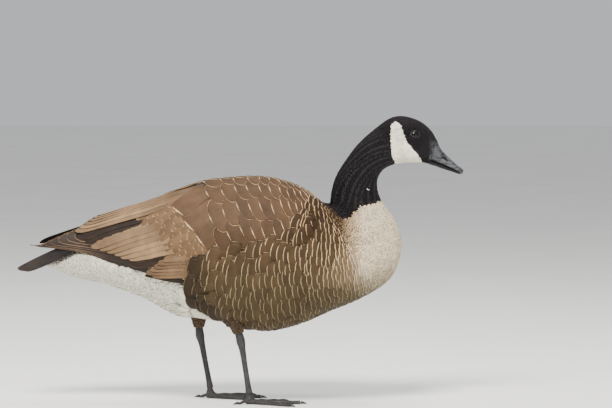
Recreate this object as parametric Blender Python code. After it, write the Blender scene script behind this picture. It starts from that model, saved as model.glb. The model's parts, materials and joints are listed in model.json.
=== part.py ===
"""A Canada goose standing in profile, life size, as a still model.

Metres, +Z up. The bill points along +X and the bird's right side is at -Y.
The origin is on the floor, under the middle of the bird. Sizes are in millimetres
until MM turns them into metres.
"""

import math
import random

import bmesh
import bpy
import numpy as np
from mathutils import Matrix, Vector

MM = 0.001
GAP = 0.3  # between nodes that touch
FLAT = 0.3  # degrees between faces that count as one plane
REACH = 130  # how far a cutter goes past what it cuts
COLLECTION = "canada_goose"
HELPERS = "cutters"

# The body is a loft of slices, each from a point of the back line to one of the belly line:
# back x and z, belly x and z, half width, share of the way down at which the slice is widest,
# and roundness, where 1 is an ellipse and less is squarer.
SLICES = [
    (-308, 222, -308, 217, 6, 0.50, 1.00),    # end of the under-tail coverts
    (-297, 229, -297, 213, 16, 0.50, 1.00),
    (-262, 243, -262, 199, 30, 0.50, 0.97),
    (-212, 262, -213, 188, 37, 0.53, 0.95),   # vent
    (-154, 288, -156, 167, 54, 0.53, 0.94),
    (-98, 316, -101, 138, 78, 0.50, 0.93),    # rump
    (-40, 336, -42, 126, 93, 0.50, 0.92),     # thighs
    (24, 350, 32, 115, 101, 0.50, 0.91),      # middle of the back
    (72, 347, 86, 123, 102, 0.50, 0.91),
    (108, 333, 132, 142, 97, 0.51, 0.92),     # shoulder
    (132, 319, 196, 169, 86, 0.54, 0.93),
    (142, 314, 241, 200, 70, 0.57, 0.95),     # breast
    (144, 318, 258, 248, 54, 0.57, 0.97),
    (145, 328, 247, 290, 42.5, 0.54, 0.98),
    (147, 340, 225, 322, 33.5, 0.50, 1.00),   # root of the neck
    (153, 360, 218, 350, 28, 0.50, 1.00),
    (167, 384, 226, 370, 25.5, 0.50, 1.00),
    (190, 414, 243, 380, 24.5, 0.50, 1.00),   # nape
    (217, 438, 258, 383, 24.5, 0.53, 0.98),
    (240, 454, 271, 384, 24.5, 0.57, 0.95),
    (262, 457, 283, 384, 23.5, 0.58, 0.93),   # crown
    (287, 449, 293, 383.5, 20, 0.58, 0.93),
    (304, 435, 299, 382, 16.2, 0.60, 0.94),
    (314, 419, 303, 380.5, 13, 0.64, 0.94),   # root of the bill
]
# Each node of the body runs between two of the slices, with so many steps from one to the next.
NODE_CUTS = {
    "rump": (0, 5, 2), "torso": (5, 9, 2), "breast": (9, 14, 2), "neck": (14, 17, 2), "head": (17, 23, 2),
}
RING_POINTS = 24

# A folded wing lies over the body: x, height of its top, of its widest place and of its
# lower edge, half width there, and how deep its core is.
WING = [
    (-338, 254, 249, 246, 10, 2),             # tips of the primaries
    (-319, 264, 251, 245, 18, 2),
    (-280, 281, 254, 243, 28, 2),
    (-240, 294, 252, 237, 39, 2),
    (-190, 310, 246, 219, 53, 2),
    (-160, 319, 241, 210, 63, 2),
    (-143, 324, 239, 206, 69, 11),
    (-98, 341, 232, 199, 84, 12),
    (-58, 354, 231, 199, 94, 13),
    (-26, 358, 231, 228, 100, 13),
    (14, 361, 236, 240, 105, 13),
    (48, 359, 238, 246, 106.5, 12),
    (80, 351, 244, 260, 105, 11),
    (104, 340, 250, 283, 100, 9),
    (120, 328, 252, 300, 94, 7),
    (134, 314, 252, 300, 84, 6),              # bend of the wing, under the breast feathers
]
WING_CORE_END = (-226, -134)  # where a wing's core ends, at its upper and its lower edge
WING_MIDLINE = 0.9  # from the middle of the back to a wing's upper edge
RELIEF = 2.0  # how far the tips of a wing's feathers rise over its core

# Tiers of a wing's feathers, from the rear to the front: how many, where the tips of the
# uppermost and lowest one lie, how long they are, and how wide for their share of the tier
TIERS = {
    "tertials and secondaries": (8, -241, -146, 116, 1.4),
    "greater coverts": (6, -146, -78, 82, 1.35),
    "long scapulars": (5, -96, -38, 68, 1.3),
    "rear scapulars": (5, -52, 0, 60, 1.3),
    "median coverts": (4, -12, 36, 54, 1.25),
    "front scapulars": (4, 24, 66, 46, 1.25),
    "mantle": (3, 56, 90, 40, 1.2),
}
TIER_SHARES = (0.07, 0.93)  # of a wing's width, between which its feathers' middles lie
SLANT = 1.4  # above 1, a tier's tips run back steeply at its lower end
TIP_VARY, SIZE_VARY, LEAN_VARY, RISE_VARY = 3, 0.05, 0.015, (-0.25, 0.1)
# How deep a tier's vanes reach into the core, which is thin over the primaries
SUNK_PLACES, SUNK_DEPTHS = (-185, -150), (2.9, 4.4)
CORE_OVERHANG = 3  # a vane is free of the core from this far before the core's end

VANE_THICK = 0.8
VANE_STEP = 1.15  # from one free vane to the one that lies under it
VANE_ROWS = (0, 0.5, 0.86, 1.0)  # along a vane, from root to tip
VANE_WIDTHS = (0.65, 1.0, 0.85, 0.32)  # half width there, as a share of the widest
VANE_ROUNDING = 0.03  # how much shorter a vane's edges are than its shaft
VANE_ROOT = 0.4  # thickness of a vane at its root
VANE_RISEN = 0.9  # share of its length over which a vane comes up to its full height
VANE_CAMBER = 0.5  # how far a shaft rises over its vane's edges
VANE_TILT = 0.45  # how far the lower edge of a vane stands out over the next one

# Primaries of a folded wing: place of each tip, from the shortest and uppermost down
PRIMARY_TIPS = (-280, -295, -308, -320, -330, -338)
PRIMARY_SHARES = (0.30, 0.38, 0.46, 0.54, 0.60, 0.64)
PRIMARY_WIDTH = 27
PRIMARY_ROOT = (-150, -168)  # from front to rear, the block that they grow from
PRIMARY_ROOT_SHARES = (0.17, 0.70)
PRIMARY_SETBACK = 6  # from the front of that block to the root of a vane
PRIMARY_COVER = 4.6  # how deep the uppermost lies under a wing's feathers
PRIMARY_RISE = (24, 1)  # behind the tip of a shorter vane, where a longer one has come up and starts to

# The tail, a closed fan: x, height of its middle, fall to its sides, and half width
TAIL = [
    (-222, 268, 2, 22),
    (-262, 258, 6, 28),
    (-305, 241, 10, 31),
    (-340, 224, 5, 30),
    (-357, 215, 2, 27),
]
TAIL_PAIRS = 8
TAIL_WIDTH = 23
TAIL_SHARES = (0.06, 0.92)  # of the half width, where the middle and outermost feathers lie
TAIL_GATHER = 0.75  # how much closer together the feathers are at their roots
TAIL_ROOT = (-226, -268)  # from front to rear, the block that they grow from
TAIL_ROOT_SHARE = 0.86
TAIL_SETBACK = 12  # from the front of that block to the root of a vane
TAIL_ROOT_DEPTH = 24
TAIL_ROUNDING = 15  # how much shorter the outermost feathers are than the middle ones

# Bill: culmen x and z, cutting-edge x and z, half width, widest share, roundness
UPPER_BILL = [
    (314.3, 419.5, 306.2, 385.4, 12.8, 0.66, 0.82),
    (319.5, 407, 313, 383.2, 12.6, 0.66, 0.80),
    (328, 397, 321, 380.4, 12.0, 0.66, 0.80),
    (337, 388, 331, 376.4, 11.2, 0.66, 0.80),
    (346, 380, 341, 372.2, 9.8, 0.62, 0.84),
    (353, 374, 349.5, 369, 7.2, 0.56, 0.90),
    (357, 369.5, 355.5, 366.5, 3.6, 0.50, 1.00),
]
LOWER_BILL = [
    (305.4, 386, 304.6, 379.4, 12, 0.36, 0.80),
    (313, 383.8, 311.8, 377.2, 11.8, 0.36, 0.80),
    (321.5, 380.8, 320.2, 374.2, 11.2, 0.36, 0.82),
    (331, 376.8, 329.8, 371, 10.2, 0.38, 0.84),
    (341, 372.6, 340, 367.8, 8.6, 0.42, 0.90),
    (348.5, 369.6, 347.8, 365.6, 5.6, 0.46, 1.00),
    (352, 367.6, 351.6, 364.8, 3, 0.50, 1.00),
]
BILL_RING = 16
NAIL_PLACE, NAIL_SIZE, NAIL_TILT = (352, 371.2), (5, 5, 3), 42
NOSTRIL_PLACE, NOSTRIL_SIZE, NOSTRIL_TILT = (327, 389.6), (7.4, 2.4, 1.7), 39
NOSTRIL_OUT = 10.6

EYE_PLACE = (279, 429)
EYE_RADIUS = 8.2
EYE_PROUD = 2.6  # how far the eyeball stands out of the face
LID_RADIUS, LID_THICK, LID_SQUASH = 6.9, 1.2, 0.86
# A wedge cut into the face as the corner of the mouth: its two ends, its height and its depth
MOUTH_CORNER, MOUTH_FRONT, MOUTH_HEIGHT, MOUTH_DEPTH = (294, 387), (310, 384.9), 1.0, 2

# The white strap from cheek to cheek under the chin, as its outline from the side
STRAP = [
    (239, 425), (241, 443), (247, 449), (255, 446), (260, 433), (264, 420), (274, 406), (283, 396),
    (290, 387), (292, 372), (252, 372), (246, 385), (242, 398), (241, 412),
]

HIP_Y = 44
# Middle lines of the legs from the belly down: x, z, outwards from the hip, half thickness
RIGHT_THIGH = [(-22, 172, -4, 26), (-12, 148, -2, 18), (-6, 130, 0, 12), (-2, 113, 0, 7.6)]
RIGHT_LEG = [
    (-2, 112.7, 0, 6), (0, 106, 0, 6.6), (1.5, 99, 0, 6.8), (4, 86, 0, 5), (8, 60, 0, 4.3), (12, 34, 0, 4.4),
    (14.5, 18, 0, 5.4),
]
LEFT_THIGH = [(-72, 176, -4, 26), (-69, 150, -2, 18), (-68, 131, 0, 12), (-68, 115, 0, 7.6)]
LEFT_LEG = [
    (-68, 114.7, 0, 6), (-67, 107, 0, 6.6), (-66, 100, 0, 6.8), (-63, 87, 0, 5), (-58, 60, 0, 4.3),
    (-53, 34, 0, 4.4), (-50, 18, 0, 5.4),
]
LEG_NARROW = 0.85  # a leg's thickness across, as a share of that from front to back

# Toes: length, spread in degrees, and half thickness at root and end
TOES = {"inner": (62, -30, 5.2, 3.4), "middle": (80, 0, 5.6, 3.6), "outer": (74, 31, 5.2, 3.4)}
HIND_TOE, HIND_SPREAD, HIND_LIFT = (18, 3.6, 2.4), 25, 5
TOE_JOINTS = 3
TOE_WAIST = 0.86  # a toe's thickness between two joints, as a share of that at the joints
TOE_FLATTEN = 0.74  # height of a toe's middle line, as a share of its half thickness
KNUCKLE, ANKLE, ANKLE_DOWN = (8.5, 7, 8), (6.4, 5.6, 11), 9
WEB_UP, WEB_THICK, WEB_SAG, WEB_REACH = 1.0, 1.4, 11, 0.96
CLAW = (10, 2.5)  # length and half thickness
CLAW_TAPER = ((0, 1.0, 3.0), (0.4, 0.82, 2.6), (1, 0.25, 1.0))  # along it, thickness and least height

COLOURS = {
    "black": (0.018, 0.017, 0.018), "brown": (0.17, 0.115, 0.075), "pale": (0.55, 0.48, 0.40),
    "white": (0.80, 0.79, 0.74), "dark": (0.045, 0.035, 0.03), "horn": (0.025, 0.025, 0.028),
    "eye": (0.01, 0.008, 0.007), "thigh": (0.10, 0.075, 0.052),
}
GLOSSY = ("eye", "horn")


def clear_scene():
    """Removes the scene's objects and makes the collections for parts and helpers."""
    for obj in list(bpy.data.objects):
        bpy.data.objects.remove(obj, do_unlink=True)
    for name in (COLLECTION, HELPERS):
        bpy.context.scene.collection.children.link(bpy.data.collections.new(name))


def finish(name):
    """The plain finish of one plumage colour."""
    made = bpy.data.materials.get(name)
    if made:
        return made
    made = bpy.data.materials.new(name)
    made.use_nodes = True
    shader = made.node_tree.nodes["Principled BSDF"]
    shader.inputs["Base Color"].default_value = (*COLOURS[name], 1)
    shader.inputs["Roughness"].default_value = 0.3 if name in GLOSSY else 0.7
    shader.inputs["Metallic"].default_value = 0
    return made


def paint(obj, colour):
    """Gives an object one finish."""
    obj.data.materials.clear()
    obj.data.materials.append(finish(colour))


def curve_rows(rows, steps):
    """The rows of a table with more between them, on a smooth curve through all of them."""
    rows = np.asarray(rows, float)
    padded = np.vstack([2 * rows[0] - rows[1], rows, 2 * rows[-1] - rows[-2]])
    made = []
    for i in range(1, len(padded) - 2):
        a, b, c, d = padded[i - 1:i + 3]
        for t in np.arange(steps) / steps:
            made.append(0.5 * (2 * b + (c - a) * t + (2 * a - 5 * b + 4 * c - d) * t ** 2
                               + (3 * b - a - 3 * c + d) * t ** 3))
    return np.array(made + [rows[-1]])


def slice_point(row, degrees):
    """A point of a slice. 0 degrees is the back, 90 the left side and -90 the right."""
    back, belly = row[0:2], row[2:4]
    half, widest, roundness = row[4:7]
    angle = math.radians(degrees)
    share = (1 - math.cos(angle)) / 2 + (widest - 0.5) * math.sin(angle) ** 2
    across = math.copysign(half * abs(math.sin(angle)) ** roundness, math.sin(angle))
    x, z = back + (belly - back) * share
    return np.array((x, across, z))


def ring(row, points):
    """A closed slice with this many points."""
    return np.array([slice_point(row, 360 * i / points) for i in range(points)])


def add_object(name, mesh, helper=False):
    """An object among the parts, or among the helpers, which aren't part of the bird."""
    obj = bpy.data.objects.new(name, mesh)
    bpy.data.collections[HELPERS if helper else COLLECTION].objects.link(obj)
    if helper:
        obj.hide_render = True
        obj.display_type = "WIRE"
    return obj


def closed_mesh(name, verts, faces):
    """A mesh of triangles from points in millimetres, with its faces pointing out."""
    mesh = bpy.data.meshes.new(name)
    mesh.from_pydata([tuple(v) for v in np.asarray(verts) * MM], [], faces)
    work = bmesh.new()
    work.from_mesh(mesh)
    bmesh.ops.recalc_face_normals(work, faces=work.faces)
    bmesh.ops.triangulate(work, faces=[f for f in work.faces if len(f.verts) > 3])
    work.to_mesh(mesh)
    work.free()
    return mesh


def loft(name, rings, helper=False):
    """A closed body through rings of equal counts, with flat ends."""
    count = len(rings[0])
    faces = []
    for i in range(len(rings) - 1):
        for j in range(count):
            k = (j + 1) % count
            faces.append((i * count + j, i * count + k, (i + 1) * count + k, (i + 1) * count + j))
    faces.append(tuple(range(count)))
    faces.append(tuple(range((len(rings) - 1) * count, len(rings) * count)))
    return add_object(name, closed_mesh(name, np.vstack(rings), faces), helper)


def plate(name, outer, inner, helper=False):
    """A closed plate between two grids of points, split into triangles alike on both."""
    rows, count = len(outer), len(outer[0])
    half = rows * count
    faces = []
    for i in range(rows - 1):
        for j in range(count - 1):
            a = i * count + j
            for face in ((a, a + 1, a + count + 1), (a, a + count + 1, a + count)):
                faces.append(face)
                faces.append(tuple(half + v for v in face))
    rim = [(i * count, (i + 1) * count) for i in range(rows - 1)]
    rim += [(i * count + count - 1, (i + 1) * count + count - 1) for i in range(rows - 1)]
    rim += [(j, j + 1) for j in range(count - 1)]
    rim += [((rows - 1) * count + j, (rows - 1) * count + j + 1) for j in range(count - 1)]
    for a, b in rim:
        faces.append((a, b, half + b))
        faces.append((a, half + b, half + a))
    verts = np.vstack([np.vstack(outer), np.vstack(inner)])
    return add_object(name, closed_mesh(name, verts, faces), helper)


def grown(obj, by=GAP):
    """A helper copy of an object, larger by this much all round."""
    mesh = obj.data.copy()
    normals = [v.normal.copy() for v in mesh.vertices]
    for vertex, normal in zip(mesh.vertices, normals):
        vertex.co += normal * by * MM
    return add_object(obj.name + "_grown", mesh, helper=True)


def apply_modifiers(obj):
    """Replaces an object's mesh by what its modifiers make of it."""
    bpy.context.view_layer.update()
    graph = bpy.context.evaluated_depsgraph_get()
    mesh = bpy.data.meshes.new_from_object(obj.evaluated_get(graph))
    obj.modifiers.clear()
    obj.data = mesh


def cut(obj, cutter, operation="DIFFERENCE", solver="EXACT"):
    """Applies one Boolean with a helper object, and removes the helper."""
    modifier = obj.modifiers.new("cut", "BOOLEAN")
    modifier.operation = operation
    modifier.object = cutter
    modifier.solver = solver
    apply_modifiers(obj)
    bpy.data.objects.remove(cutter, do_unlink=True)


def fuse(obj, pieces, solver="EXACT"):
    """Joins helper pieces to an object with one union, and removes them."""
    group = bpy.data.collections.new(obj.name + "_pieces")
    bpy.context.scene.collection.children.link(group)
    for piece in pieces:
        group.objects.link(piece)
    modifier = obj.modifiers.new("join", "BOOLEAN")
    modifier.operation = "UNION"
    modifier.operand_type = "COLLECTION"
    modifier.collection = group
    modifier.solver = solver
    apply_modifiers(obj)
    for piece in list(pieces):
        bpy.data.objects.remove(piece, do_unlink=True)
    bpy.data.collections.remove(group)
    keep_largest(obj)


def keep_largest(obj):
    """Keeps the largest closed surface, and joins triangles that lie in one plane."""
    work = bmesh.new()
    work.from_mesh(obj.data)
    left = set(work.verts)
    surfaces = []
    while left:
        found, queue = set(), [left.pop()]
        while queue:
            vertex = queue.pop()
            found.add(vertex)
            for edge in vertex.link_edges:
                other = edge.other_vert(vertex)
                if other in left:
                    left.discard(other)
                    queue.append(other)
        surfaces.append(found)
    largest = max(surfaces, key=box_diagonal)
    loose = [v for verts in surfaces if verts is not largest for v in verts]
    bmesh.ops.delete(work, geom=loose, context="VERTS")
    work.to_mesh(obj.data)
    bmesh.ops.dissolve_limit(work, angle_limit=math.radians(FLAT), verts=work.verts, edges=work.edges)
    bmesh.ops.triangulate(work, faces=work.faces)
    if all(len(edge.link_faces) == 2 for edge in work.edges):
        work.to_mesh(obj.data)
    work.free()


def box_diagonal(verts):
    """Diagonal of the box round some vertices."""
    points = np.array([v.co for v in verts])
    return float(np.linalg.norm(points.max(0) - points.min(0)))


def body_nodes():
    """Rump, torso, breast, neck and head: one loft, parted by thin cuts at named slices."""
    made = {}
    for name, (first, last, steps) in NODE_CUTS.items():
        part = curve_rows(SLICES, steps)[first * steps:last * steps + 1]
        rings = [ring(row, RING_POINTS) for row in part]
        if first:
            rings[0] = rings[0] + forward(part[0]) * GAP / 2
        if name != "head":
            rings[-1] = rings[-1] - forward(part[-1]) * GAP / 2
        made[name] = loft(name, rings)
    return made


def forward(row):
    """The direction towards the bill, square to a slice."""
    down = np.array((row[2] - row[0], 0, row[3] - row[1]))
    return np.cross(down / np.linalg.norm(down), (0, 1, 0))


WING_ROWS = curve_rows(WING, 6)
TAIL_ROWS = curve_rows(TAIL, 6)[::-1]


def wing_row(x):
    """Top, widest place, lower edge, half width and depth of a wing at a place along it."""
    return [np.interp(x, WING_ROWS[:, 0], WING_ROWS[:, i]) for i in range(1, 6)]


def wing_point(side, x, share, height=0.0):
    """A point of a wing: share 0 is its upper edge, 1 its lower edge, height is out of it."""
    top, middle, low, half, _ = wing_row(x)
    start = math.asin(min(1, WING_MIDLINE / half))
    end = math.acos(max(-1, min(1, (low - middle) / (top - middle))))
    angle = start + (end - start) * share
    across, up = half * math.sin(angle), (top - middle) * math.cos(angle)
    out = np.array((0, across / half ** 2, up / (top - middle) ** 2))
    out = out / np.linalg.norm(out)
    point = np.array((x, across, middle + up)) + out * height
    point[1] = max(point[1], WING_MIDLINE)
    return point * (1, side, 1)


def wing_plate(name, side, start, end, steps, shares, high, low):
    """A plate that follows a folded wing, from a place along it to end(share).

    high(x) and low(x) give the heights of its two faces.
    """
    outer, inner = [], []
    for along in np.linspace(0, 1, steps):
        places = [start + (end(s) - start) * along for s in shares]
        outer.append([wing_point(side, x, s, high(x)) for x, s in zip(places, shares)])
        inner.append([wing_point(side, x, s, low(x)) for x, s in zip(places, shares)])
    return plate(name, outer, inner)


def wing_span(x):
    """Length of the wing's surface from its upper edge to its lower one."""
    points = [wing_point(1, x, s) for s in np.linspace(0, 1, 9)]
    return sum(np.linalg.norm(b - a) for a, b in zip(points, points[1:]))


def vane(place, root, tip, width, top, bottom):
    """One vane, from root to tip, each an (x, share) of the surface that it lies on.

    place(x, share, out, height) gives a point at a distance out sideways from that share, and
    top(t, c) and bottom(t, c) give the heights of the vane's two faces.
    """
    outer, inner = [], []
    for t, wide in zip(VANE_ROWS, VANE_WIDTHS):
        share = root[1] + (tip[1] - root[1]) * t
        line_outer, line_inner = [], []
        for c in (-1, 0, 1):
            x = root[0] + (tip[0] - root[0]) * (t - VANE_ROUNDING * abs(c) * t)
            out = c * width / 2 * wide
            line_outer.append(place(x, share, out, top(t, c, x)))
            line_inner.append(place(x, share, out, bottom(t, c, x)))
        outer.append(line_outer)
        inner.append(line_inner)
    return plate("vane", outer, inner, helper=True)


def on_wing(side):
    """Where a wing's feathers are put: on its surface, at a distance sideways from a share."""
    def place(x, share, out, height):
        return wing_point(side, x, min(1, max(0, share + out / wing_span(x))), height)
    return place


def sunk(x):
    """How deep under a wing's surface the vanes' roots reach at a place along it."""
    return np.interp(x, SUNK_PLACES, SUNK_DEPTHS)


def core_end(share):
    """Where a wing's core ends, at a share of its width."""
    return WING_CORE_END[0] + (WING_CORE_END[1] - WING_CORE_END[0]) * share ** SLANT


def tier_vanes(side, draw):
    """All the tiers of feathers of one wing."""
    pieces = []
    for count, tip_top, tip_low, length, overlap in TIERS.values():
        shares = np.linspace(*TIER_SHARES, count)
        for i, share in enumerate(shares):
            down = i / (count - 1)
            tip_x = tip_top + (tip_low - tip_top) * down ** SLANT + draw.uniform(-TIP_VARY, TIP_VARY)
            long = length * draw.uniform(1 - SIZE_VARY, 1 + SIZE_VARY)
            width = wing_span(tip_x + long / 2) / count * overlap * draw.uniform(1 - SIZE_VARY, 1 + SIZE_VARY)
            lean = draw.uniform(-LEAN_VARY, LEAN_VARY)
            rise = draw.uniform(*RISE_VARY)

            def top(t, c, x, rise=rise):
                high = (VANE_ROOT - sunk(x)) * (1 - min(1, t / VANE_RISEN))
                return high + rise * t + (VANE_CAMBER * (1 - c * c) + VANE_TILT * c) * t

            def bottom(t, c, x, top=top, end=core_end(share)):
                return -sunk(x) if x > end + CORE_OVERHANG else top(t, c, x) - VANE_THICK

            root_x = min(tip_x + long, WING[-2][0])
            pieces.append(vane(on_wing(side), (root_x, share - lean), (tip_x, share + lean),
                               width, top, bottom))
    return pieces


def primary_height(index, x):
    """How deep a primary lies: under the shorter ones, and up past each one's tip."""
    up, start = PRIMARY_RISE
    above = sum(np.interp(x, (tip - up, tip - start), (0, 1)) for tip in PRIMARY_TIPS[:index])
    return -PRIMARY_COVER - VANE_STEP * above


def primary_vanes(side):
    """The free primaries of one wing, one under another."""
    pieces = []
    for index, (tip, share) in enumerate(zip(PRIMARY_TIPS, PRIMARY_SHARES)):
        def top(t, c, x, index=index):
            return primary_height(index, x)

        def bottom(t, c, x, index=index):
            return primary_height(index, x) - VANE_THICK

        root = (PRIMARY_ROOT[0] - PRIMARY_SETBACK, share)
        pieces.append(vane(on_wing(side), root, (tip, 0.5), PRIMARY_WIDTH, top, bottom))
    return pieces


def tail_point(x, share, out, height):
    """A point of the tail: share -1 is its right side, 1 its left side."""
    middle, fall, half = [np.interp(x, TAIL_ROWS[:, 0], TAIL_ROWS[:, i]) for i in (1, 2, 3)]
    share = share + out / half
    up = np.array((0, 2 * fall * share / half, 1))
    up = up / np.linalg.norm(up)
    return np.array((x, half * share, middle - fall * share ** 2)) + up * height


def tail_root(name):
    """The block that the tail's feathers grow from, which sits on the rump."""
    outer, inner = [], []
    for x in np.linspace(*TAIL_ROOT, 5):
        shares = np.linspace(-TAIL_ROOT_SHARE, TAIL_ROOT_SHARE, 9)
        outer.append([tail_point(x, s, 0, 1) for s in shares])
        inner.append([tail_point(x, s, 0, -TAIL_ROOT_DEPTH * math.sqrt(1 - s * s)) for s in shares])
    return plate(name, outer, inner)


def tail_vanes():
    """The tail feathers: the middle pair on top and each further pair lower."""
    pieces = []
    for pair in range(TAIL_PAIRS):
        for side in (1, -1):
            level = pair + (1 if pair or side < 0 else 0)
            outer = pair / (TAIL_PAIRS - 1)
            share = side * (TAIL_SHARES[0] + (TAIL_SHARES[1] - TAIL_SHARES[0]) * outer)
            tip = TAIL[-1][0] + TAIL_ROUNDING * outer ** 2

            def place(x, share, out, height, side=side, pair=pair):
                point = tail_point(x, share, out, height)
                if pair:
                    point[1] = side * max(side * point[1], GAP)
                return point

            root = (TAIL_ROOT[0] - TAIL_SETBACK, share * TAIL_GATHER)
            pieces.append(vane(place, root, (tip, share), TAIL_WIDTH,
                               lambda t, c, x, level=level: -level * VANE_STEP,
                               lambda t, c, x, level=level: -level * VANE_STEP - VANE_THICK))
    return pieces


def ellipsoid(name, centre, sizes, tilt=0.0, helper=True, segments=10, rings=6):
    """An ellipsoid with half sizes along X, Y and Z, tilted nose down by degrees."""
    work = bmesh.new()
    bmesh.ops.create_uvsphere(work, u_segments=segments, v_segments=rings, radius=MM)
    bmesh.ops.triangulate(work, faces=[f for f in work.faces if len(f.verts) > 3])
    mesh = bpy.data.meshes.new(name)
    work.to_mesh(mesh)
    work.free()
    mesh.transform(Matrix.Translation(Vector(centre) * MM) @ Matrix.Rotation(math.radians(tilt), 4, "Y")
                   @ Matrix.Diagonal((*sizes, 1)))
    return add_object(name, mesh, helper)


def prism(name, outline, low, high):
    """A helper cutter: an outline seen from the side, from one sideways place to another."""
    count = len(outline)
    verts = [(x, y, z) for y in (low, high) for x, z in outline]
    faces = [tuple(range(count)), tuple(range(count, 2 * count))]
    faces += [(i, (i + 1) % count, count + (i + 1) % count, count + i) for i in range(count)]
    return add_object(name, closed_mesh(name, verts, faces), helper=True)


def slab(name, x, low, high):
    """A helper cutter between two heights, round a place along the bird."""
    outline = [(x - REACH, low), (x + REACH, low), (x + REACH, high), (x - REACH, high)]
    return prism(name, outline, -2 * REACH, 2 * REACH)


def tube(name, points, radii, narrow=1.0, helper=False, roundness=2):
    """A limb: a round tube through points, with its own half thickness at each of them."""
    curve = bpy.data.curves.new(name, "CURVE")
    curve.dimensions = "3D"
    curve.bevel_depth = MM
    curve.bevel_resolution = roundness
    curve.use_fill_caps = True
    spline = curve.splines.new("POLY")
    spline.points.add(len(points) - 1)
    middle = float(np.mean([p[1] for p in points]))
    for place, point, radius in zip(spline.points, points, radii):
        place.co = (point[0] * MM, (point[1] - middle) / narrow * MM, point[2] * MM, 1)
        place.radius = radius
    obj = bpy.data.objects.new(name, curve)
    bpy.context.scene.collection.objects.link(obj)
    bpy.context.view_layer.update()
    mesh = bpy.data.meshes.new_from_object(obj.evaluated_get(bpy.context.evaluated_depsgraph_get()))
    bpy.data.objects.remove(obj, do_unlink=True)
    work = bmesh.new()
    work.from_mesh(mesh)
    bmesh.ops.remove_doubles(work, verts=work.verts, dist=0.01 * MM)
    bmesh.ops.recalc_face_normals(work, faces=work.faces)
    bmesh.ops.triangulate(work, faces=[f for f in work.faces if len(f.verts) > 3])
    work.to_mesh(mesh)
    work.free()
    mesh.transform(Matrix.Translation((0, middle * MM, 0)) @ Matrix.Diagonal((1, narrow, 1, 1)))
    return add_object(name, mesh, helper)


def limb(name, line, side):
    """A thigh or leg along a line of x, z, outwards and half thickness."""
    rows = curve_rows(line, 2)
    points = [(x, side * (HIP_Y + out), z) for x, z, out, _ in rows]
    return tube(name, points, rows[:, 3], LEG_NARROW)


def toe(start, heading, length, root, end, lift=0.0):
    """A toe that lies on the floor, thicker at each joint."""
    count = 2 * TOE_JOINTS
    points, radii = [], []
    for i in range(count + 1):
        t = i / count
        thick = (root + (end - root) * t) * (1.0 if i % 2 == 0 else TOE_WAIST)
        points.append((start[0] + length * t * math.cos(heading), start[1] + length * t * math.sin(heading),
                       thick * TOE_FLATTEN + lift * (1 - t)))
        radii.append(thick)
    return tube("toe", points, radii, helper=True)


def web(start, first, second):
    """The skin between two toes, with its front edge drawn in."""
    start, first, second = (np.array(p[:2]) for p in (start, first, second))
    inward = start - (first + second) / 2
    inward = inward / np.linalg.norm(inward)
    edge = [first + (second - first) * t + inward * WEB_SAG * 4 * t * (1 - t) for t in np.linspace(0, 1, 7)]
    outline = [start] + edge
    count = len(outline)
    verts = [(*p, WEB_UP + up) for up in (0, WEB_THICK) for p in outline]
    faces = [tuple(range(count)), tuple(range(count, 2 * count))]
    faces += [(i, (i + 1) % count, count + (i + 1) % count, count + i) for i in range(count)]
    return add_object("web", closed_mesh("web", verts, faces), helper=True)


def foot(name, leg_line, side):
    """A webbed foot with three front toes, a small raised hind toe and flat soles."""
    x, top, _, _ = leg_line[-1]
    y = side * HIP_Y
    start = (x + 2, y)
    made = ellipsoid(name, (x + 1, y, KNUCKLE[2] * TOE_FLATTEN), KNUCKLE, helper=False)
    pieces = [ellipsoid("ankle", (x, y, top - ANKLE_DOWN), ANKLE)]
    tips = {}
    for word, (length, spread, root, end) in TOES.items():
        heading = math.radians(side * spread)
        pieces.append(toe(start, heading, length, root, end))
        tips[word] = (start[0] + length * math.cos(heading), y + length * math.sin(heading), heading, end)
    for pair in (("inner", "middle"), ("middle", "outer")):
        ends = [np.array(start) + (np.array(tips[word][:2]) - start) * WEB_REACH for word in pair]
        pieces.append(web(start, *ends))
    length, root, end = HIND_TOE
    heading = math.radians(180 - side * HIND_SPREAD)
    pieces.append(toe((x, y), heading, length, root, end, lift=HIND_LIFT))
    tips["hind"] = (x + length * math.cos(heading), y + length * math.sin(heading), heading, end)
    fuse(made, pieces)
    cut(made, slab("floor", x, -REACH, 0))
    cut(made, slab("shank", x, top - GAP, REACH))
    keep_largest(made)
    return made, tips


def claw(name, tip):
    """A blunt claw that carries on from the end of a toe and rests on the floor."""
    x, y, heading, thick = tip
    length, half = CLAW
    way = np.array((math.cos(heading), math.sin(heading)))
    points, radii = [], []
    for t, share, high in CLAW_TAPER:
        place = np.array((x, y)) + way * (GAP + length * t)
        points.append((*place, max(high, half * share)))
        radii.append(half * share)
    return tube(name, points, radii, roundness=1)


def build_leg(word, side, thigh_line, leg_line, body):
    """Thigh, leg, foot and claws of one side."""
    thigh = limb("thigh_" + word, thigh_line, side)
    for name in ("torso", "rump"):
        cut(thigh, grown(body[name]))
    keep_largest(thigh)
    paint(thigh, "thigh")
    leg = limb("leg_" + word, leg_line, side)
    cut(leg, grown(thigh))
    x, floor = leg_line[-1][:2]
    cut(leg, slab("ankle", x, -REACH, floor))
    keep_largest(leg)
    paint(leg, "horn")
    made, tips = foot("foot_" + word, leg_line, side)
    paint(made, "horn")
    for name, tip in tips.items():
        nail = claw(f"claw_{word}_{name}", tip)
        cut(nail, grown(made))
        keep_largest(nail)
        paint(nail, "black")


def face_width(x, z):
    """Half width of the head at a place seen from the side."""
    rows = curve_rows(SLICES[NODE_CUTS["head"][0]:], 6)
    points = [slice_point(row, a) for row in rows for a in range(20, 160, 2)]
    return min(points, key=lambda p: math.hypot(p[0] - x, p[2] - z))[1]


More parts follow.
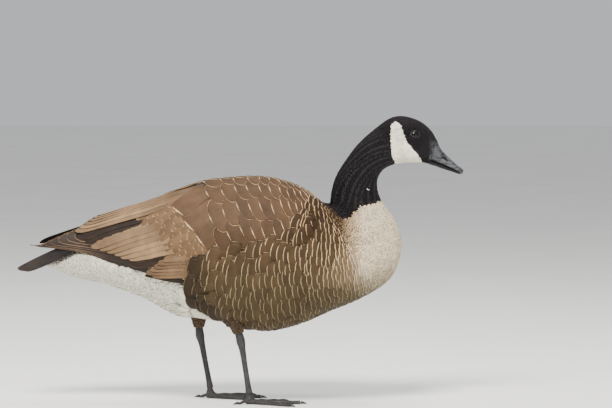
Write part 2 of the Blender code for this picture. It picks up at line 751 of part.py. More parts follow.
def face_frame(side):
    """The place of one eye on the face, turned so that its Z axis points out of the face."""
    x, z = EYE_PLACE
    reach = 6
    out = Vector((face_width(x - reach, z) - face_width(x + reach, z), 2 * reach,
                  face_width(x, z - reach) - face_width(x, z + reach)))
    out.y *= side
    place = Vector((x, side * face_width(x, z), z))
    return Matrix.Translation(place * MM) @ out.to_track_quat("Z", "Y").to_matrix().to_4x4()


def eye(name, side):
    """One eyeball, set into the face by a named depth."""
    ball = ellipsoid(name, (0, 0, 0), (EYE_RADIUS,) * 3, helper=False, segments=14, rings=8)
    ball.data.transform(face_frame(side) @ Matrix.Translation((0, 0, (EYE_PROUD - EYE_RADIUS) * MM)))
    paint(ball, "eye")
    return ball


def lid(side):
    """The rim of lid round one eye."""
    bpy.ops.mesh.primitive_torus_add(major_radius=LID_RADIUS * MM, minor_radius=LID_THICK * MM,
                                     major_segments=14, minor_segments=6)
    rim = bpy.context.object
    rim.data.transform(face_frame(side) @ Matrix.Diagonal((1, LID_SQUASH, 1, 1)))
    work = bmesh.new()
    work.from_mesh(rim.data)
    bmesh.ops.triangulate(work, faces=work.faces)
    bmesh.ops.recalc_face_normals(work, faces=work.faces)
    work.to_mesh(rim.data)
    work.free()
    rim.hide_render = True
    return rim


def build_head(head):
    """Eyes, lids, eye sockets, the corner of the mouth and the white strap."""
    fuse(head, [lid(1), lid(-1)])
    for word, side in (("right", -1), ("left", 1)):
        cut(head, grown(eye("eye_" + word, side)))
    (x0, z0), (x1, z1) = MOUTH_CORNER, MOUTH_FRONT
    half = MOUTH_HEIGHT / 2
    for side in (1, -1):
        low, high = sorted((side * (face_width(x0, z0) - MOUTH_DEPTH), side * REACH))
        cut(head, prism("mouth", [(x0, z0), (x1, z1 - half), (x1, z1 + half)], low, high))
    strap = add_object("cheek_strap", head.data.copy())
    cut(strap, prism("band", STRAP, -REACH, REACH), "INTERSECT")
    cut(head, grown(prism("band", STRAP, -REACH, REACH)))
    for node in (head, strap):
        keep_largest(node)
    paint(head, "black")
    paint(strap, "white")


def build_bill(head_end):
    """Both halves of the bill, with the nail and the nostrils."""
    upper = loft("bill_upper", [ring(row, BILL_RING) for row in curve_rows(UPPER_BILL, 1)])
    fuse(upper, [ellipsoid("nail", (NAIL_PLACE[0], 0, NAIL_PLACE[1]), NAIL_SIZE, NAIL_TILT)])
    for side in (1, -1):
        centre = (NOSTRIL_PLACE[0], side * NOSTRIL_OUT, NOSTRIL_PLACE[1])
        cut(upper, ellipsoid("nostril", centre, NOSTRIL_SIZE, NOSTRIL_TILT))
    lower = loft("bill_lower", [ring(row, BILL_RING) for row in curve_rows(LOWER_BILL, 1)])
    cut(lower, grown(upper))
    back, belly = head_end[0:2], head_end[2:4]
    way = forward(head_end)[[0, 2]]
    up = (back - belly) / np.linalg.norm(back - belly)
    high, low = back + up * REACH, belly - up * REACH
    outline = [tuple(high + way * GAP), tuple(low + way * GAP), tuple(low - way * REACH), tuple(high - way * REACH)]
    for node in (upper, lower):
        cut(node, prism("face", outline, -REACH, REACH))
        keep_largest(node)
        paint(node, "horn")


def build_tail(body):
    """The tail, fitted to the rump."""
    tail = tail_root("tail")
    fuse(tail, tail_vanes(), "MANIFOLD")
    cut(tail, grown(body["rump"]))
    keep_largest(tail)
    paint(tail, "dark")
    return tail


def build_wing(word, side, body, tail):
    """A folded wing and, under it, the primaries that reach out past it."""
    wing = wing_plate("wing_" + word, side, WING[-1][0], core_end, 12, np.linspace(0, 1, 8),
                      lambda x: -RELIEF, lambda x: -RELIEF - wing_row(x)[4])
    core = grown(wing)
    fuse(wing, tier_vanes(side, random.Random(word)), "MANIFOLD")
    lowest = -PRIMARY_COVER - VANE_STEP * len(PRIMARY_TIPS)
    primaries = wing_plate("primaries_" + word, side, PRIMARY_ROOT[0], lambda s: PRIMARY_ROOT[1], 3,
                           np.linspace(*PRIMARY_ROOT_SHARES, 6), lambda x: VANE_ROOT - PRIMARY_COVER,
                           lambda x: lowest)
    fuse(primaries, primary_vanes(side), "MANIFOLD")
    cut(primaries, core, solver="MANIFOLD")
    for node, colour in ((wing, "brown"), (primaries, "dark")):
        for other in (body["rump"], body["torso"], body["breast"], tail):
            cut(node, grown(other), solver="MANIFOLD")
        keep_largest(node)
        paint(node, colour)


def main():
    """Builds every node of the goose."""
    clear_scene()
    body = body_nodes()
    for name, colour in (("rump", "white"), ("torso", "brown"), ("breast", "pale"), ("neck", "black")):
        paint(body[name], colour)
    build_bill(np.array(SLICES[-1], float))
    build_head(body["head"])
    tail = build_tail(body)
    for word, side in (("right", -1), ("left", 1)):
        build_wing(word, side, body, tail)
    build_leg("right", -1, RIGHT_THIGH, RIGHT_LEG, body)
    build_leg("left", 1, LEFT_THIGH, LEFT_LEG, body)


main()
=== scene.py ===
"""The looks of a Canada goose, a still model at life size.

The bird faces +X and its right side is at -Y. Sizes held by the classes are in millimetres, and
MM turns them into Blender's metres where a mesh is made.
"""

from __future__ import annotations

import json
import logging
import math
from dataclasses import dataclass, field
from enum import Enum
from typing import Callable, Sequence

import bmesh
import bpy
import numpy as np
from mathutils import Matrix, Vector

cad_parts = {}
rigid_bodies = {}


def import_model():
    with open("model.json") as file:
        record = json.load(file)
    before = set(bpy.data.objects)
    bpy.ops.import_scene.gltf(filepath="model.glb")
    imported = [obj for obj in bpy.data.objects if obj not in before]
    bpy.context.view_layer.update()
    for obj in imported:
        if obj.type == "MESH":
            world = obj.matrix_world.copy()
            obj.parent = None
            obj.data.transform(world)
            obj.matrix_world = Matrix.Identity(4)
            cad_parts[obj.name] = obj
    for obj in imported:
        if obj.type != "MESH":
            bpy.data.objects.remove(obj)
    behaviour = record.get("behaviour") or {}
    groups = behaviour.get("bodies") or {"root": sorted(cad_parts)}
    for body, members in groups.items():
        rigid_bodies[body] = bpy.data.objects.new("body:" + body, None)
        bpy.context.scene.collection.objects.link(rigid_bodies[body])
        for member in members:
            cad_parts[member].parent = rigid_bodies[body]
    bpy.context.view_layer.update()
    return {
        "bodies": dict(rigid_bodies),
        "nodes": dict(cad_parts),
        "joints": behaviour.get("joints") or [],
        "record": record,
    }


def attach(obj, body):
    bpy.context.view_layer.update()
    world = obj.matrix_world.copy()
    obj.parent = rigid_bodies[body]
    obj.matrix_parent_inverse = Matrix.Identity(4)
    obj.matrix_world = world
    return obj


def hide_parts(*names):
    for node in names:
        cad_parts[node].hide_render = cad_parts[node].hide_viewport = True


LOG = logging.getLogger("canada_goose")
MM = 0.001
PATCH = 0.003  # width of one feather's patch on the OFBake map

Colour = tuple[float, float, float]
SHAFT_DARK = (0.03, 0.025, 0.02)
TIP_DARK = (0.008, 0.005, 0.003)  # what the vane darkens towards before its tip
DOWN_DARK = (0.01, 0.008, 0.006)
HORN_DARK = (0.006, 0.006, 0.007)
PUPIL = (0.003, 0.003, 0.003)
EYE_RIM = (0.004, 0.003, 0.003)


def srgb(red: float, green: float, blue: float) -> Colour:
    """Turns a screen's colour, with shares from 0 to 255, into the linear one that shaders use."""
    shares = (value / 255 for value in (red, green, blue))
    return tuple(s / 12.92 if s <= 0.04045 else ((s + 0.055) / 1.055) ** 2.4 for s in shares)


def smooth(value: np.ndarray, low: float, high: float) -> np.ndarray:
    """Rises smoothly from 0 to 1 as a value goes from low to high."""
    share = np.clip((np.asarray(value, float) - low) / (high - low), 0, 1)
    return share * share * (3 - 2 * share)


def curve_rows(rows: Sequence[Sequence[float]], steps: int) -> np.ndarray:
    """Fills in a table along a smooth curve through all of its rows.

    Args:
        rows: The table.
        steps: How many rows to make for each one of the table.

    Returns:
        The longer table.
    """
    rows = np.asarray(rows, float)
    padded = np.vstack([2 * rows[0] - rows[1], rows, 2 * rows[-1] - rows[-2]])
    made = []
    for index in range(1, len(padded) - 2):
        a, b, c, d = padded[index - 1:index + 3]
        for t in np.arange(steps) / steps:
            made.append(0.5 * (2 * b + (c - a) * t + (2 * a - 5 * b + 4 * c - d) * t ** 2
                               + (3 * b - a - 3 * c + d) * t ** 3))
    return np.array(made + [rows[-1]])


def unit(vectors: np.ndarray) -> np.ndarray:
    """Vectors of length 1 along the given ones."""
    return vectors / np.maximum(np.linalg.norm(vectors, axis=-1, keepdims=True), 1e-9)


def inside(outline: Sequence[tuple[float, float]], x: np.ndarray, z: np.ndarray) -> np.ndarray:
    """Tells which points lie inside an outline, all seen from the side.

    Args:
        outline: Corners as x and z.
        x: Places of the points along the bird.
        z: Heights of the points.

    Returns:
        True for each point inside.
    """
    hit = np.zeros(np.shape(x), bool)
    for (x0, z0), (x1, z1) in zip(outline, [*outline[1:], outline[0]]):
        if z0 == z1:
            continue
        hit ^= ((z0 > z) != (z1 > z)) & (x < (x1 - x0) * (z - z0) / (z1 - z0) + x0)
    return hit


def read_line(line: Sequence[tuple[float, float]], at: np.ndarray) -> np.ndarray:
    """Reads a line, given as places and its values there, at other places."""
    places, values = np.array(line).T
    return np.interp(at, places, values)


class Side(Enum):
    """A side of the bird, with the sign of Y there."""

    RIGHT = -1
    LEFT = 1

    @property
    def word(self) -> str:
        """The side as nodes' names have it."""
        return self.name.lower()


@dataclass(frozen=True)
class BodyShape:
    """The loft under the small feathers of head, neck and body."""

    # back x and z, belly x and z, half width, widest share and roundness, from tail to bill
    slices: tuple = (
        (-308, 222, -308, 217, 6, 0.50, 1.00), (-297, 229, -297, 213, 16, 0.50, 1.00),
        (-262, 243, -262, 199, 30, 0.50, 0.97), (-212, 262, -213, 188, 37, 0.53, 0.95),
        (-154, 288, -156, 167, 54, 0.53, 0.94), (-98, 316, -101, 138, 78, 0.50, 0.93),
        (-40, 336, -42, 126, 93, 0.50, 0.92), (24, 350, 32, 115, 101, 0.50, 0.91),
        (72, 347, 86, 123, 102, 0.50, 0.91), (108, 333, 132, 142, 97, 0.51, 0.92),
        (132, 319, 196, 169, 86, 0.54, 0.93), (142, 314, 241, 200, 70, 0.57, 0.95),
        (144, 318, 258, 248, 54, 0.57, 0.97), (145, 328, 247, 290, 42.5, 0.54, 0.98),
        (147, 340, 225, 322, 33.5, 0.50, 1.00), (153, 360, 218, 350, 28, 0.50, 1.00),
        (167, 384, 226, 370, 25.5, 0.50, 1.00), (190, 414, 243, 380, 24.5, 0.50, 1.00),
        (217, 438, 258, 383, 24.5, 0.53, 0.98), (240, 454, 271, 384, 24.5, 0.57, 0.95),
        (262, 457, 283, 384, 23.5, 0.58, 0.93), (287, 449, 293, 383.5, 20, 0.58, 0.93),
        (304, 435, 299, 382, 16.2, 0.60, 0.94), (314, 419, 303, 380.5, 13, 0.64, 0.94),
    )
    steps: int = 8

    @property
    def last(self) -> int:
        """Number of the slice at the root of the bill."""
        return len(self.slices) - 1

    def point(self, along: np.ndarray, degrees: np.ndarray) -> np.ndarray:
        """Finds points of the loft.

        Args:
            along: Places along the bird, counted in slices from the tail.
            degrees: Places round it, with 0 at the back and 90 at the left side.

        Returns:
            The points, in millimetres.
        """
        table = curve_rows(self.slices, self.steps)
        place = np.asarray(along, float) * self.steps
        back_x, back_z, belly_x, belly_z, half, widest, roundness = (
            np.interp(place, np.arange(len(table)), column) for column in table.T)
        angle = np.radians(degrees)
        share = (1 - np.cos(angle)) / 2 + (widest - 0.5) * np.sin(angle) ** 2
        across = np.sign(np.sin(angle)) * half * np.abs(np.sin(angle)) ** roundness
        return np.stack([back_x + (belly_x - back_x) * share, across,
                         back_z + (belly_z - back_z) * share], axis=-1)

    def normal(self, along: np.ndarray, degrees: np.ndarray) -> np.ndarray:
        """Finds directions straight out of the loft.

        Args:
            along: Places along the bird, counted in slices from the tail.
            degrees: Places round it.

        Returns:
            The directions.
        """
        along, degrees = np.asarray(along, float), np.asarray(degrees, float)
        ahead = self.point(np.minimum(along + 0.05, self.last), degrees) - self.point(
            np.maximum(along - 0.05, 0), degrees)
        around = self.point(along, degrees + 1.5) - self.point(along, degrees - 1.5)
        return unit(np.cross(ahead, around))


@dataclass(frozen=True)
class WingShape:
    """The surface of a folded wing."""

    # x, height of the top, of the widest place and of the lower edge, and half width there
    stations: tuple = (
        (-338, 254, 249, 246, 10), (-319, 264, 251, 245, 18), (-280, 281, 254, 243, 28),
        (-240, 294, 252, 237, 39), (-190, 310, 246, 219, 53), (-160, 319, 241, 210, 63),
        (-143, 324, 239, 206, 69), (-98, 341, 232, 199, 84), (-58, 354, 231, 199, 94),
        (-26, 358, 231, 228, 100), (14, 361, 236, 240, 105), (48, 359, 238, 246, 106.5),
        (80, 351, 244, 260, 105), (104, 340, 250, 283, 100), (120, 328, 252, 300, 94),
        (134, 314, 252, 300, 84),
    )

    def station(self, x: np.ndarray) -> tuple[np.ndarray, ...]:
        """Top, widest place, lower edge and half width of the wing at places along it."""
        table = curve_rows(self.stations, 6)
        return tuple(np.interp(x, table[:, 0], table[:, column]) for column in range(1, 5))

    def span(self, x: np.ndarray) -> np.ndarray:
        """Length of the surface from the middle of the back to the wing's lower edge."""
        points = [self.at_share(x, np.full(np.shape(x), share), 0) for share in np.linspace(0, 1, 17)]
        return sum(np.linalg.norm(b - a, axis=-1) for a, b in zip(points, points[1:]))

    def at_share(self, x: np.ndarray, share: np.ndarray, height: np.ndarray | float) -> np.ndarray:
        """Points of the left wing at shares of the way from the back to the lower edge.

        Args:
            x: Places along the wing.
            share: 0 at the middle of the back, 1 at the lower edge.
            height: Distance out of the surface.

        Returns:
            The points, in millimetres.
        """
        top, middle, low, half = self.station(x)
        angle = np.arccos(np.clip((low - middle) / (top - middle), -1, 1)) * share
        across, up = half * np.sin(angle), (top - middle) * np.cos(angle)
        zero = np.zeros(np.shape(angle))
        out = unit(np.stack([zero, across / half ** 2, up / (top - middle) ** 2], axis=-1))
        return np.stack([x + zero, across, middle + up], axis=-1) + out * np.asarray(height)[..., None]

    def place(self, side: Side) -> Callable[[np.ndarray, np.ndarray, np.ndarray], np.ndarray]:
        """The function that puts flat feathers on one wing.

        Args:
            side: The wing's side.

        Returns:
            A function of place along, distance down from the middle of the back and height.
        """
        grid = np.arange(-345, 150, 3.0)
        spans = self.span(grid)

        def put(x: np.ndarray, down: np.ndarray, height: np.ndarray) -> np.ndarray:
            share = np.clip(down / np.interp(x, grid, spans), -0.04, 1.02)
            return self.at_share(x, share, height) * (1, side.value, 1)

        return put

    def down_at(self, x: float, z: float) -> float:
        """Finds where the wing has a height.

        Args:
            x: Place along the wing.
            z: The height.

        Returns:
            The distance down from the middle of the back.
        """
        top, middle, low, _ = self.station(np.array(float(x)))
        full = math.acos(max(-1, min(1, (low - middle) / (top - middle))))
        return float(self.span(np.array(float(x)))) * math.acos(
            max(-1, min(1, (z - middle) / (top - middle)))) / full

    def width_at(self, x: np.ndarray, z: np.ndarray) -> tuple[np.ndarray, np.ndarray]:
        """Half width of the wings as seen from the side, and how far it holds there.

        Args:
            x: Places along the bird.
            z: Heights.

        Returns:
            Half widths, and shares that fall from 1 at the wing's lower edge to 0 well under it.
        """
        top, middle, low, half = self.station(x)
        rise = (np.maximum(z, low) - middle) / np.maximum(top - middle, 1)
        along = smooth(x, -132, -96) * (1 - smooth(x, 118, 140))
        return half * np.sqrt(np.clip(1 - rise ** 2, 0, 1)), smooth(z - low, -34, 0) * along


@dataclass(frozen=True)
class TailShape:
    """The surface of the closed tail."""

    # x, height of its middle, fall to its sides and half width
    stations: tuple = (
        (-222, 268, 2, 22), (-262, 258, 6, 28), (-305, 241, 10, 31), (-340, 224, 5, 30),
        (-357, 215, 2, 27),
    )

    def place(self, x: np.ndarray, across: np.ndarray, height: np.ndarray) -> np.ndarray:
        """Puts flat feathers on the tail.

        Args:
            x: Places along the tail.
            across: Distances to the left of its middle.
            height: Distances above its surface.

        Returns:
            The points, in millimetres.
        """
        table = curve_rows(self.stations, 6)[::-1]
        middle, fall, half = (np.interp(x, table[:, 0], table[:, i]) for i in (1, 2, 3))
        share = across / half
        zero = np.zeros(np.shape(share))
        up = unit(np.stack([zero, 2 * fall * share / half, zero + 1], axis=-1))
        return np.stack([x + zero, half * share, middle - fall * share ** 2], axis=-1) + up * np.asarray(
            height)[..., None]


@dataclass(frozen=True)
class Tone:
    """The colours of a feather's middle and of its edge, and how broad that edge is."""

    middle: Colour
    edge: Colour
    rim: float


class Plumage:
    """The bird's markings, which skin and feathers share."""

    black = Tone(srgb(17, 16, 18), srgb(40, 38, 40), 0.45)
    # the black of the crown, lightened purple-brown as a painted sheen
    crown = Tone(srgb(27, 22, 25), srgb(50, 42, 46), 0.4)
    white = Tone(srgb(252, 243, 218), srgb(255, 251, 236), 0.8)
    breast = Tone(srgb(220, 200, 166), srgb(252, 239, 212), 1.0)
    neck_side = Tone(srgb(158, 130, 98), srgb(214, 192, 160), 1.0)
    mantle = Tone(srgb(52, 37, 23), srgb(186, 152, 110), 0.9)
    flank = Tone(srgb(70, 53, 34), srgb(194, 170, 130), 1.1)
    trousers = Tone(srgb(34, 25, 16), srgb(104, 84, 58), 0.8)
    # the belly's greyish brown, darkened further by painted shade under the body
    belly = Tone(srgb(66, 55, 35), srgb(126, 111, 80), 1.2)
    # the white of the vent, dimmed a little by painted shade under the body
    vent = Tone(srgb(214, 209, 190), srgb(228, 224, 208), 0.8)
    thigh = Tone(srgb(52, 40, 29), srgb(104, 86, 64), 1.0)

    # Lower border of the black neck, as seen from the side, from the back to the throat
    sock = ((143.5, 313), (152, 305), (160, 297), (167.5, 296), (177, 301), (190.7, 314.6), (202, 318.5),
            (213, 320.5), (224, 322), (240, 324))
    # Border between the brown shoulder and the pale breast: height, x and how soft it is
    shoulder = ((150, 150, 70), (200, 154, 50), (228, 170, 34), (250, 175, 20), (264, 172, 13), (285, 167, 8),
                (300, 166, 5))
    # Border between the dark flank and the white vent: height and x
    flank_end = ((120, -18), (134, -39), (147, -60), (154, -72), (165, -85), (180, -90), (200, -92))
    cheek = ((240, 425), (240.5, 443), (247, 449), (254.5, 446), (260, 433.5), (264, 420), (273.5, 407),
             (282, 398), (290, 386.5), (292, 372), (252, 372), (246.5, 385), (242, 398), (241, 412))
    fleck = (204.5, 342.0)  # one white feather low on the right side of the neck

    def tones(self, points: np.ndarray, stray: np.ndarray) -> dict[str, np.ndarray]:
        """Shares of each tone at places on the body.

        Args:
            points: The places, in millimetres.
            stray: How far each place is moved across a border, which keeps borders feathery.

        Returns:
            The share of each tone, by its name.
        """
        x, y, z = points.T
        on_neck = (x > self.sock[0][0] - 8) & (z + stray > read_line(self.sock, x))
        cheek = inside(self.cheek, x + stray * 0.3, z + stray * 0.3)
        cheek |= (np.hypot(x - self.fleck[0], z - self.fleck[1]) < 1.4) & (y < 0)
        shares = {"white": np.where(cheek, 1.0, 0.0)}
        dark = np.where((on_neck | (z > 345) & (x > 140)) & ~cheek, 1.0, 0.0)
        # the top of the head carries the crown's painted sheen
        top = smooth(z, 436, 452)
        shares["crown"] = dark * top
        shares["black"] = dark * (1 - top)
        left = 1 - shares["white"] - dark
        level, border, soft = np.array(self.shoulder).T
        soft = np.interp(z, level, soft)
        pale = smooth((x + stray - np.interp(z, level, border)) / soft, -1, 1)
        high = smooth(z, 240, 300)
        # low: share of the belly's tone towards the bottom, partly the belly's own colour and partly painted
        # shade under the body
        low = 1 - smooth(z + stray, 162, 244)
        edge = read_line(self.flank_end, z) - x - stray
        behind = smooth(edge, -3, 3)
        shares["neck_side"] = left * pale * (1 - smooth(x, 172, 204)) * (1 - low)
        shares["breast"] = left * pale * (1 - low) - shares["neck_side"]
        shares["belly"] = left * pale * low
        left = left * (1 - pale)
        shares["vent"] = left * behind
        left = left * (1 - behind)
        shares["mantle"] = left * high
        left = left * (1 - high)
        rear = smooth(edge, -52, -14) * 0.85
        shares["trousers"] = left * rear
        left = left * (1 - rear)
        shares["belly"] = shares["belly"] + left * low * 0.8
        shares["flank"] = left * (1 - low * 0.8)
        return shares

    def paint(self, points: np.ndarray, stray: np.ndarray) -> tuple[np.ndarray, np.ndarray, np.ndarray]:
        """Colours of the feathers that are seen at points.

        Args:
            points: The places, in millimetres.
            stray: How far each one is moved across a border.

        Returns:
            Colours of the middles, colours of the edges and widths of the edges.
        """
        middle, edge, rim = np.zeros((len(points), 3)), np.zeros((len(points), 3)), np.zeros(len(points))
        for name, share in self.tones(points, stray).items():
            tone: Tone = getattr(self, name)
            middle += share[:, None] * np.array(tone.middle)
            edge += share[:, None] * np.array(tone.edge)
            rim += share * tone.rim
        return middle, edge, rim


class Shader:
    """A node tree under construction, with short ways to add and join nodes."""

    def __init__(self, tree: bpy.types.NodeTree) -> None:
        """Takes the tree that the nodes go into."""
        self.tree = tree

    def node(self, kind: str, settings: dict | None = None, **values: object) -> bpy.types.Node:
        """Adds a node.

        Args:
            kind: The node's type.
            settings: Properties of the node.
            **values: Inputs, by their names with _ for spaces, as values or as outputs to join.

        Returns:
            The node.
        """
        node = self.tree.nodes.new(kind)
        for name, value in (settings or {}).items():
            setattr(node, name, value)
        for name, value in values.items():
            self.feed(node.inputs[name.replace("_", " ")], value)
        return node

    def feed(self, socket: bpy.types.NodeSocket, value: object) -> None:
        """Joins an output to an input, or sets the input's value.

        Args:
            socket: The input.
            value: The output, or the value.
        """
        if isinstance(value, bpy.types.NodeSocket):
            self.tree.links.new(value, socket)
        elif socket.type == "RGBA" and len(value) == 3:
            socket.default_value = (*value, 1)
        else:
            socket.default_value = value

    def math(self, operation: str, *values: object) -> bpy.types.NodeSocket:
        """Adds a sum on numbers.

        Args:
            operation: The kind of sum.
            *values: Its numbers or outputs.

        Returns:
            The result.
        """
        node = self.node("ShaderNodeMath", {"operation": operation})
        for socket, value in zip(node.inputs, values):
            self.feed(socket, value)
        return node.outputs[0]

    def mix(self, share: object, first: object, second: object) -> bpy.types.NodeSocket:
        """Mixes two colours.

        Args:
            share: Share of the second one.
            first: The colour at share 0.
            second: The colour at share 1.

        Returns:
            The mixed colour.
        """
        node = self.node("ShaderNodeMix", {"data_type": "RGBA"})
        self.feed(node.inputs["Factor"], share)
        colours = [socket for socket in node.inputs if socket.type == "RGBA"]
        self.feed(colours[0], first)
        self.feed(colours[1], second)
        return next(socket for socket in node.outputs if socket.type == "RGBA")

    def ramp(self, value: object, low: object, high: object, start: float = 0.0,
             end: float = 1.0) -> bpy.types.NodeSocket:
        """Adds a smooth rise.

        Args:
            value: What drives it.
            low: The value at its start.
            high: The value at its end.
            start: What it gives up to low.
            end: What it gives from high on.

        Returns:
            The risen value.
        """
        node = self.node("ShaderNodeMapRange", {"interpolation_type": "SMOOTHSTEP"}, Value=value,
                         From_Min=low, From_Max=high, To_Min=start, To_Max=end)
        return node.outputs[0]

    def noise(self, scale: float, detail: float = 3.0, vector: object = None) -> bpy.types.NodeSocket:
        """Adds smooth noise.

        Args:
            scale: How fine it is.
            detail: How many finer layers it has.
            vector: What it lies on, or None for the piece's own coordinates in metres.

        Returns:
            The noise.
        """
        if vector is None:
            vector = self.node("ShaderNodeTexCoord").outputs["Object"]
        return self.node("ShaderNodeTexNoise", Vector=vector, Scale=scale, Detail=detail).outputs["Fac"]

    def attribute(self, name: str) -> bpy.types.Node:
        """The node that reads one of a mesh's own attributes."""
        return self.node("ShaderNodeAttribute", {"attribute_name": name})

    def bump(self, surface: bpy.types.Node, strength: float, distance: float, height: object) -> None:
        """Roughens a surface by a height."""
        node = self.node("ShaderNodeBump", Strength=strength, Distance=distance, Height=height)
        self.feed(surface.inputs["Normal"], node.outputs["Normal"])


def new_material(name: str) -> tuple[bpy.types.Material, Shader, bpy.types.Node]:
    """Starts a material.

    Args:
        name: Its name.

    Returns:
        The material, its tree and its surface node.
    """
    made = bpy.data.materials.new(name)
    made.use_nodes = True
    return made, Shader(made.node_tree), made.node_tree.nodes["Principled BSDF"]


def make_group(name: str, inputs: dict[str, tuple[str, object]], outputs: dict[str, str]) -> Shader:
    """Starts a shader group.

    Args:
        name: The group's name.
        inputs: Kind and value of each input, by its name.
        outputs: Kind of each output, by its name.

    Returns:
        The group's tree, with its input and output nodes named in and out.
    """
    tree = bpy.data.node_groups.new(name, "ShaderNodeTree")
    for label, (kind, value) in inputs.items():
        socket = tree.interface.new_socket(label, in_out="INPUT", socket_type=kind)
        socket.default_value = (*value, 1) if kind == "NodeSocketColor" else value
    for label, kind in outputs.items():
        tree.interface.new_socket(label, in_out="OUTPUT", socket_type=kind)
    tree.nodes.new("NodeGroupInput").name = "in"
    tree.nodes.new("NodeGroupOutput").name = "out"
    return Shader(tree)


def feather_pattern() -> bpy.types.NodeTree:
    """The group that draws one vane: its edge, its shaft and its barbs.

    Returns:
        The group's tree.
    """
    found = bpy.data.node_groups.get("Vane Pattern")
    if found:
        return found
    colour, number = "NodeSocketColor", "NodeSocketFloat"
    group = make_group(
        "Vane Pattern",
        {"Middle": (colour, (0.2, 0.15, 0.1)), "Edge": (colour, (0.5, 0.4, 0.3)), "Tip Share": (number, 0.1),
         "Side Share": (number, 0.1), "Chance": (number, 0.5), "Barbs": (number, 40.0),
         "Root Shade": (number, 0.6), "Shaft": (number, 0.35), "Side Start": (number, 0.3),
         "Mottle": (number, 1.0)},
        {"Color": colour, "Height": number, "Roughness": number})
    given = group.tree.nodes["in"].outputs
    flat = group.node("ShaderNodeUVMap", {"uv_map": "vane"}).outputs[0]
    where = group.node("ShaderNodeSeparateXYZ", Vector=flat)
    along = where.outputs["Y"]
    side = group.math("ABSOLUTE", group.math("MULTIPLY_ADD", where.outputs["X"], 2.0, -1.0))
    fray = group.noise(900.0, 2.0)
    tip_low = group.math("MULTIPLY_ADD", given["Tip Share"], -1.5, 1.0)
    tip_high = group.math("MULTIPLY_ADD", given["Tip Share"], -0.6, 1.0)
    frayed = group.math("ADD", along, group.math("MULTIPLY", group.math("SUBTRACT", fray, 0.5), 0.05))
    tip = group.ramp(frayed, tip_low, tip_high)
    side_low = group.math("MULTIPLY_ADD", given["Side Share"], -1.5, 1.0)
    side_high = group.math("MULTIPLY_ADD", given["Side Share"], -0.5, 1.0)
    beside = group.math("MULTIPLY", group.ramp(side, side_low, side_high),
                        group.ramp(along, given["Side Start"], 0.92))
    rim = group.math("MAXIMUM", tip, beside)
    slanted = group.math("SUBTRACT", along, group.math("MULTIPLY", side, 0.22))
    turns = group.math("MULTIPLY", given["Barbs"], math.tau)
    barb = group.math("SINE", group.math("MULTIPLY", slanted, turns))
    patches = group.noise(60.0, 4.0)
    shaft = group.ramp(side, 0.02, 0.09, 1.0, 0.0)
    # Painted shade: the vane darkens towards its root, where the feathers lying over it would shade it.
    painted_shade_at_root = group.mix(given["Root Shade"], given["Middle"], (0, 0, 0))
    base = group.mix(group.ramp(along, 0.15, 0.7), painted_shade_at_root, given["Middle"])
    base = group.mix(group.math("MULTIPLY", shaft, given["Shaft"]), base, SHAFT_DARK)
    base = group.mix(group.ramp(along, 0.45, 0.97, 0.0, 0.3), base, TIP_DARK)
    dressed = group.mix(rim, base, given["Edge"])
    uneven = group.math("ADD", group.math("MULTIPLY", group.math("SUBTRACT", patches, 0.5), 0.85),
                        group.math("MULTIPLY", group.math("SUBTRACT", given["Chance"], 0.5), 0.34))
    light = group.math("MULTIPLY_ADD", barb, 0.08, group.math("MULTIPLY_ADD", given["Mottle"], uneven, 1.0))
    shaded = group.node("ShaderNodeVectorMath", {"operation": "SCALE"}, Scale=light)
    group.feed(shaded.inputs[0], dressed)
    end = group.tree.nodes["out"].inputs
    group.feed(end["Color"], shaded.outputs[0])
    group.feed(end["Height"], group.math("ADD", group.math("MULTIPLY", barb, 0.5), group.math(
        "ADD", shaft, group.math("MULTIPLY", fray, 0.6))))
    group.feed(end["Roughness"], group.ramp(fray, 0.2, 0.8, 0.5, 0.74))
    return group.tree


@dataclass(frozen=True)
class FeatherFinish:
    """The finish of feathers, with colours that each feather brings along."""

    name: str
    barbs: float = 26.0
    bump: float = 0.12
    specular: float = 0.12
    # how dark the painted shade at each vane's root is
    root_shade: float = 0.45
    shaft: float = 0.3
    side_start: float = 0.3
    mottle: float = 1.0  # how much lightness varies from place to place and from feather to feather

    def material(self) -> bpy.types.Material:
        """Builds the material once, and gives back the same one later.

        Returns:
            The material.
        """
        found = bpy.data.materials.get(self.name)
        if found:
            return found
        made, shader, surface = new_material(self.name)
        pattern = shader.node("ShaderNodeGroup", {"node_tree": feather_pattern()})
        shares = shader.node("ShaderNodeSeparateXYZ", Vector=shader.attribute("rim").outputs["Vector"])
        for label, value in (("Middle", shader.attribute("middle").outputs["Color"]),
                             ("Edge", shader.attribute("edge").outputs["Color"]),
                             ("Tip Share", shares.outputs["X"]), ("Side Share", shares.outputs["Y"]),
                             ("Chance", shares.outputs["Z"]), ("Barbs", self.barbs),
                             ("Root Shade", self.root_shade), ("Shaft", self.shaft),
                             ("Side Start", self.side_start), ("Mottle", self.mottle)):
            shader.feed(pattern.inputs[label], value)
        shader.feed(surface.inputs["Base Color"], pattern.outputs["Color"])
        shader.feed(surface.inputs["Roughness"], pattern.outputs["Roughness"])
        shader.bump(surface, self.bump, 0.0004, pattern.outputs["Height"])
        surface.inputs["Specular IOR Level"].default_value = self.specular
        return made


@dataclass(frozen=True)
class DownFinish:
    """The finish of the skin under the feathers, a short down in the same markings."""

    name: str = "body_down"

    def material(self) -> bpy.types.Material:
        """Builds the material.

        Returns:
            The material.
        """
        made, shader, surface = new_material(self.name)
        fluff = shader.noise(700.0, 4.0)
        dark = shader.mix(shader.ramp(fluff, 0.3, 0.7, 0.4, 0.1), shader.attribute("middle").outputs["Color"],
                          DOWN_DARK)
        shader.feed(surface.inputs["Base Color"], dark)
        shader.bump(surface, 0.5, 0.0006, fluff)
        surface.inputs["Roughness"].default_value = 0.85
        return made


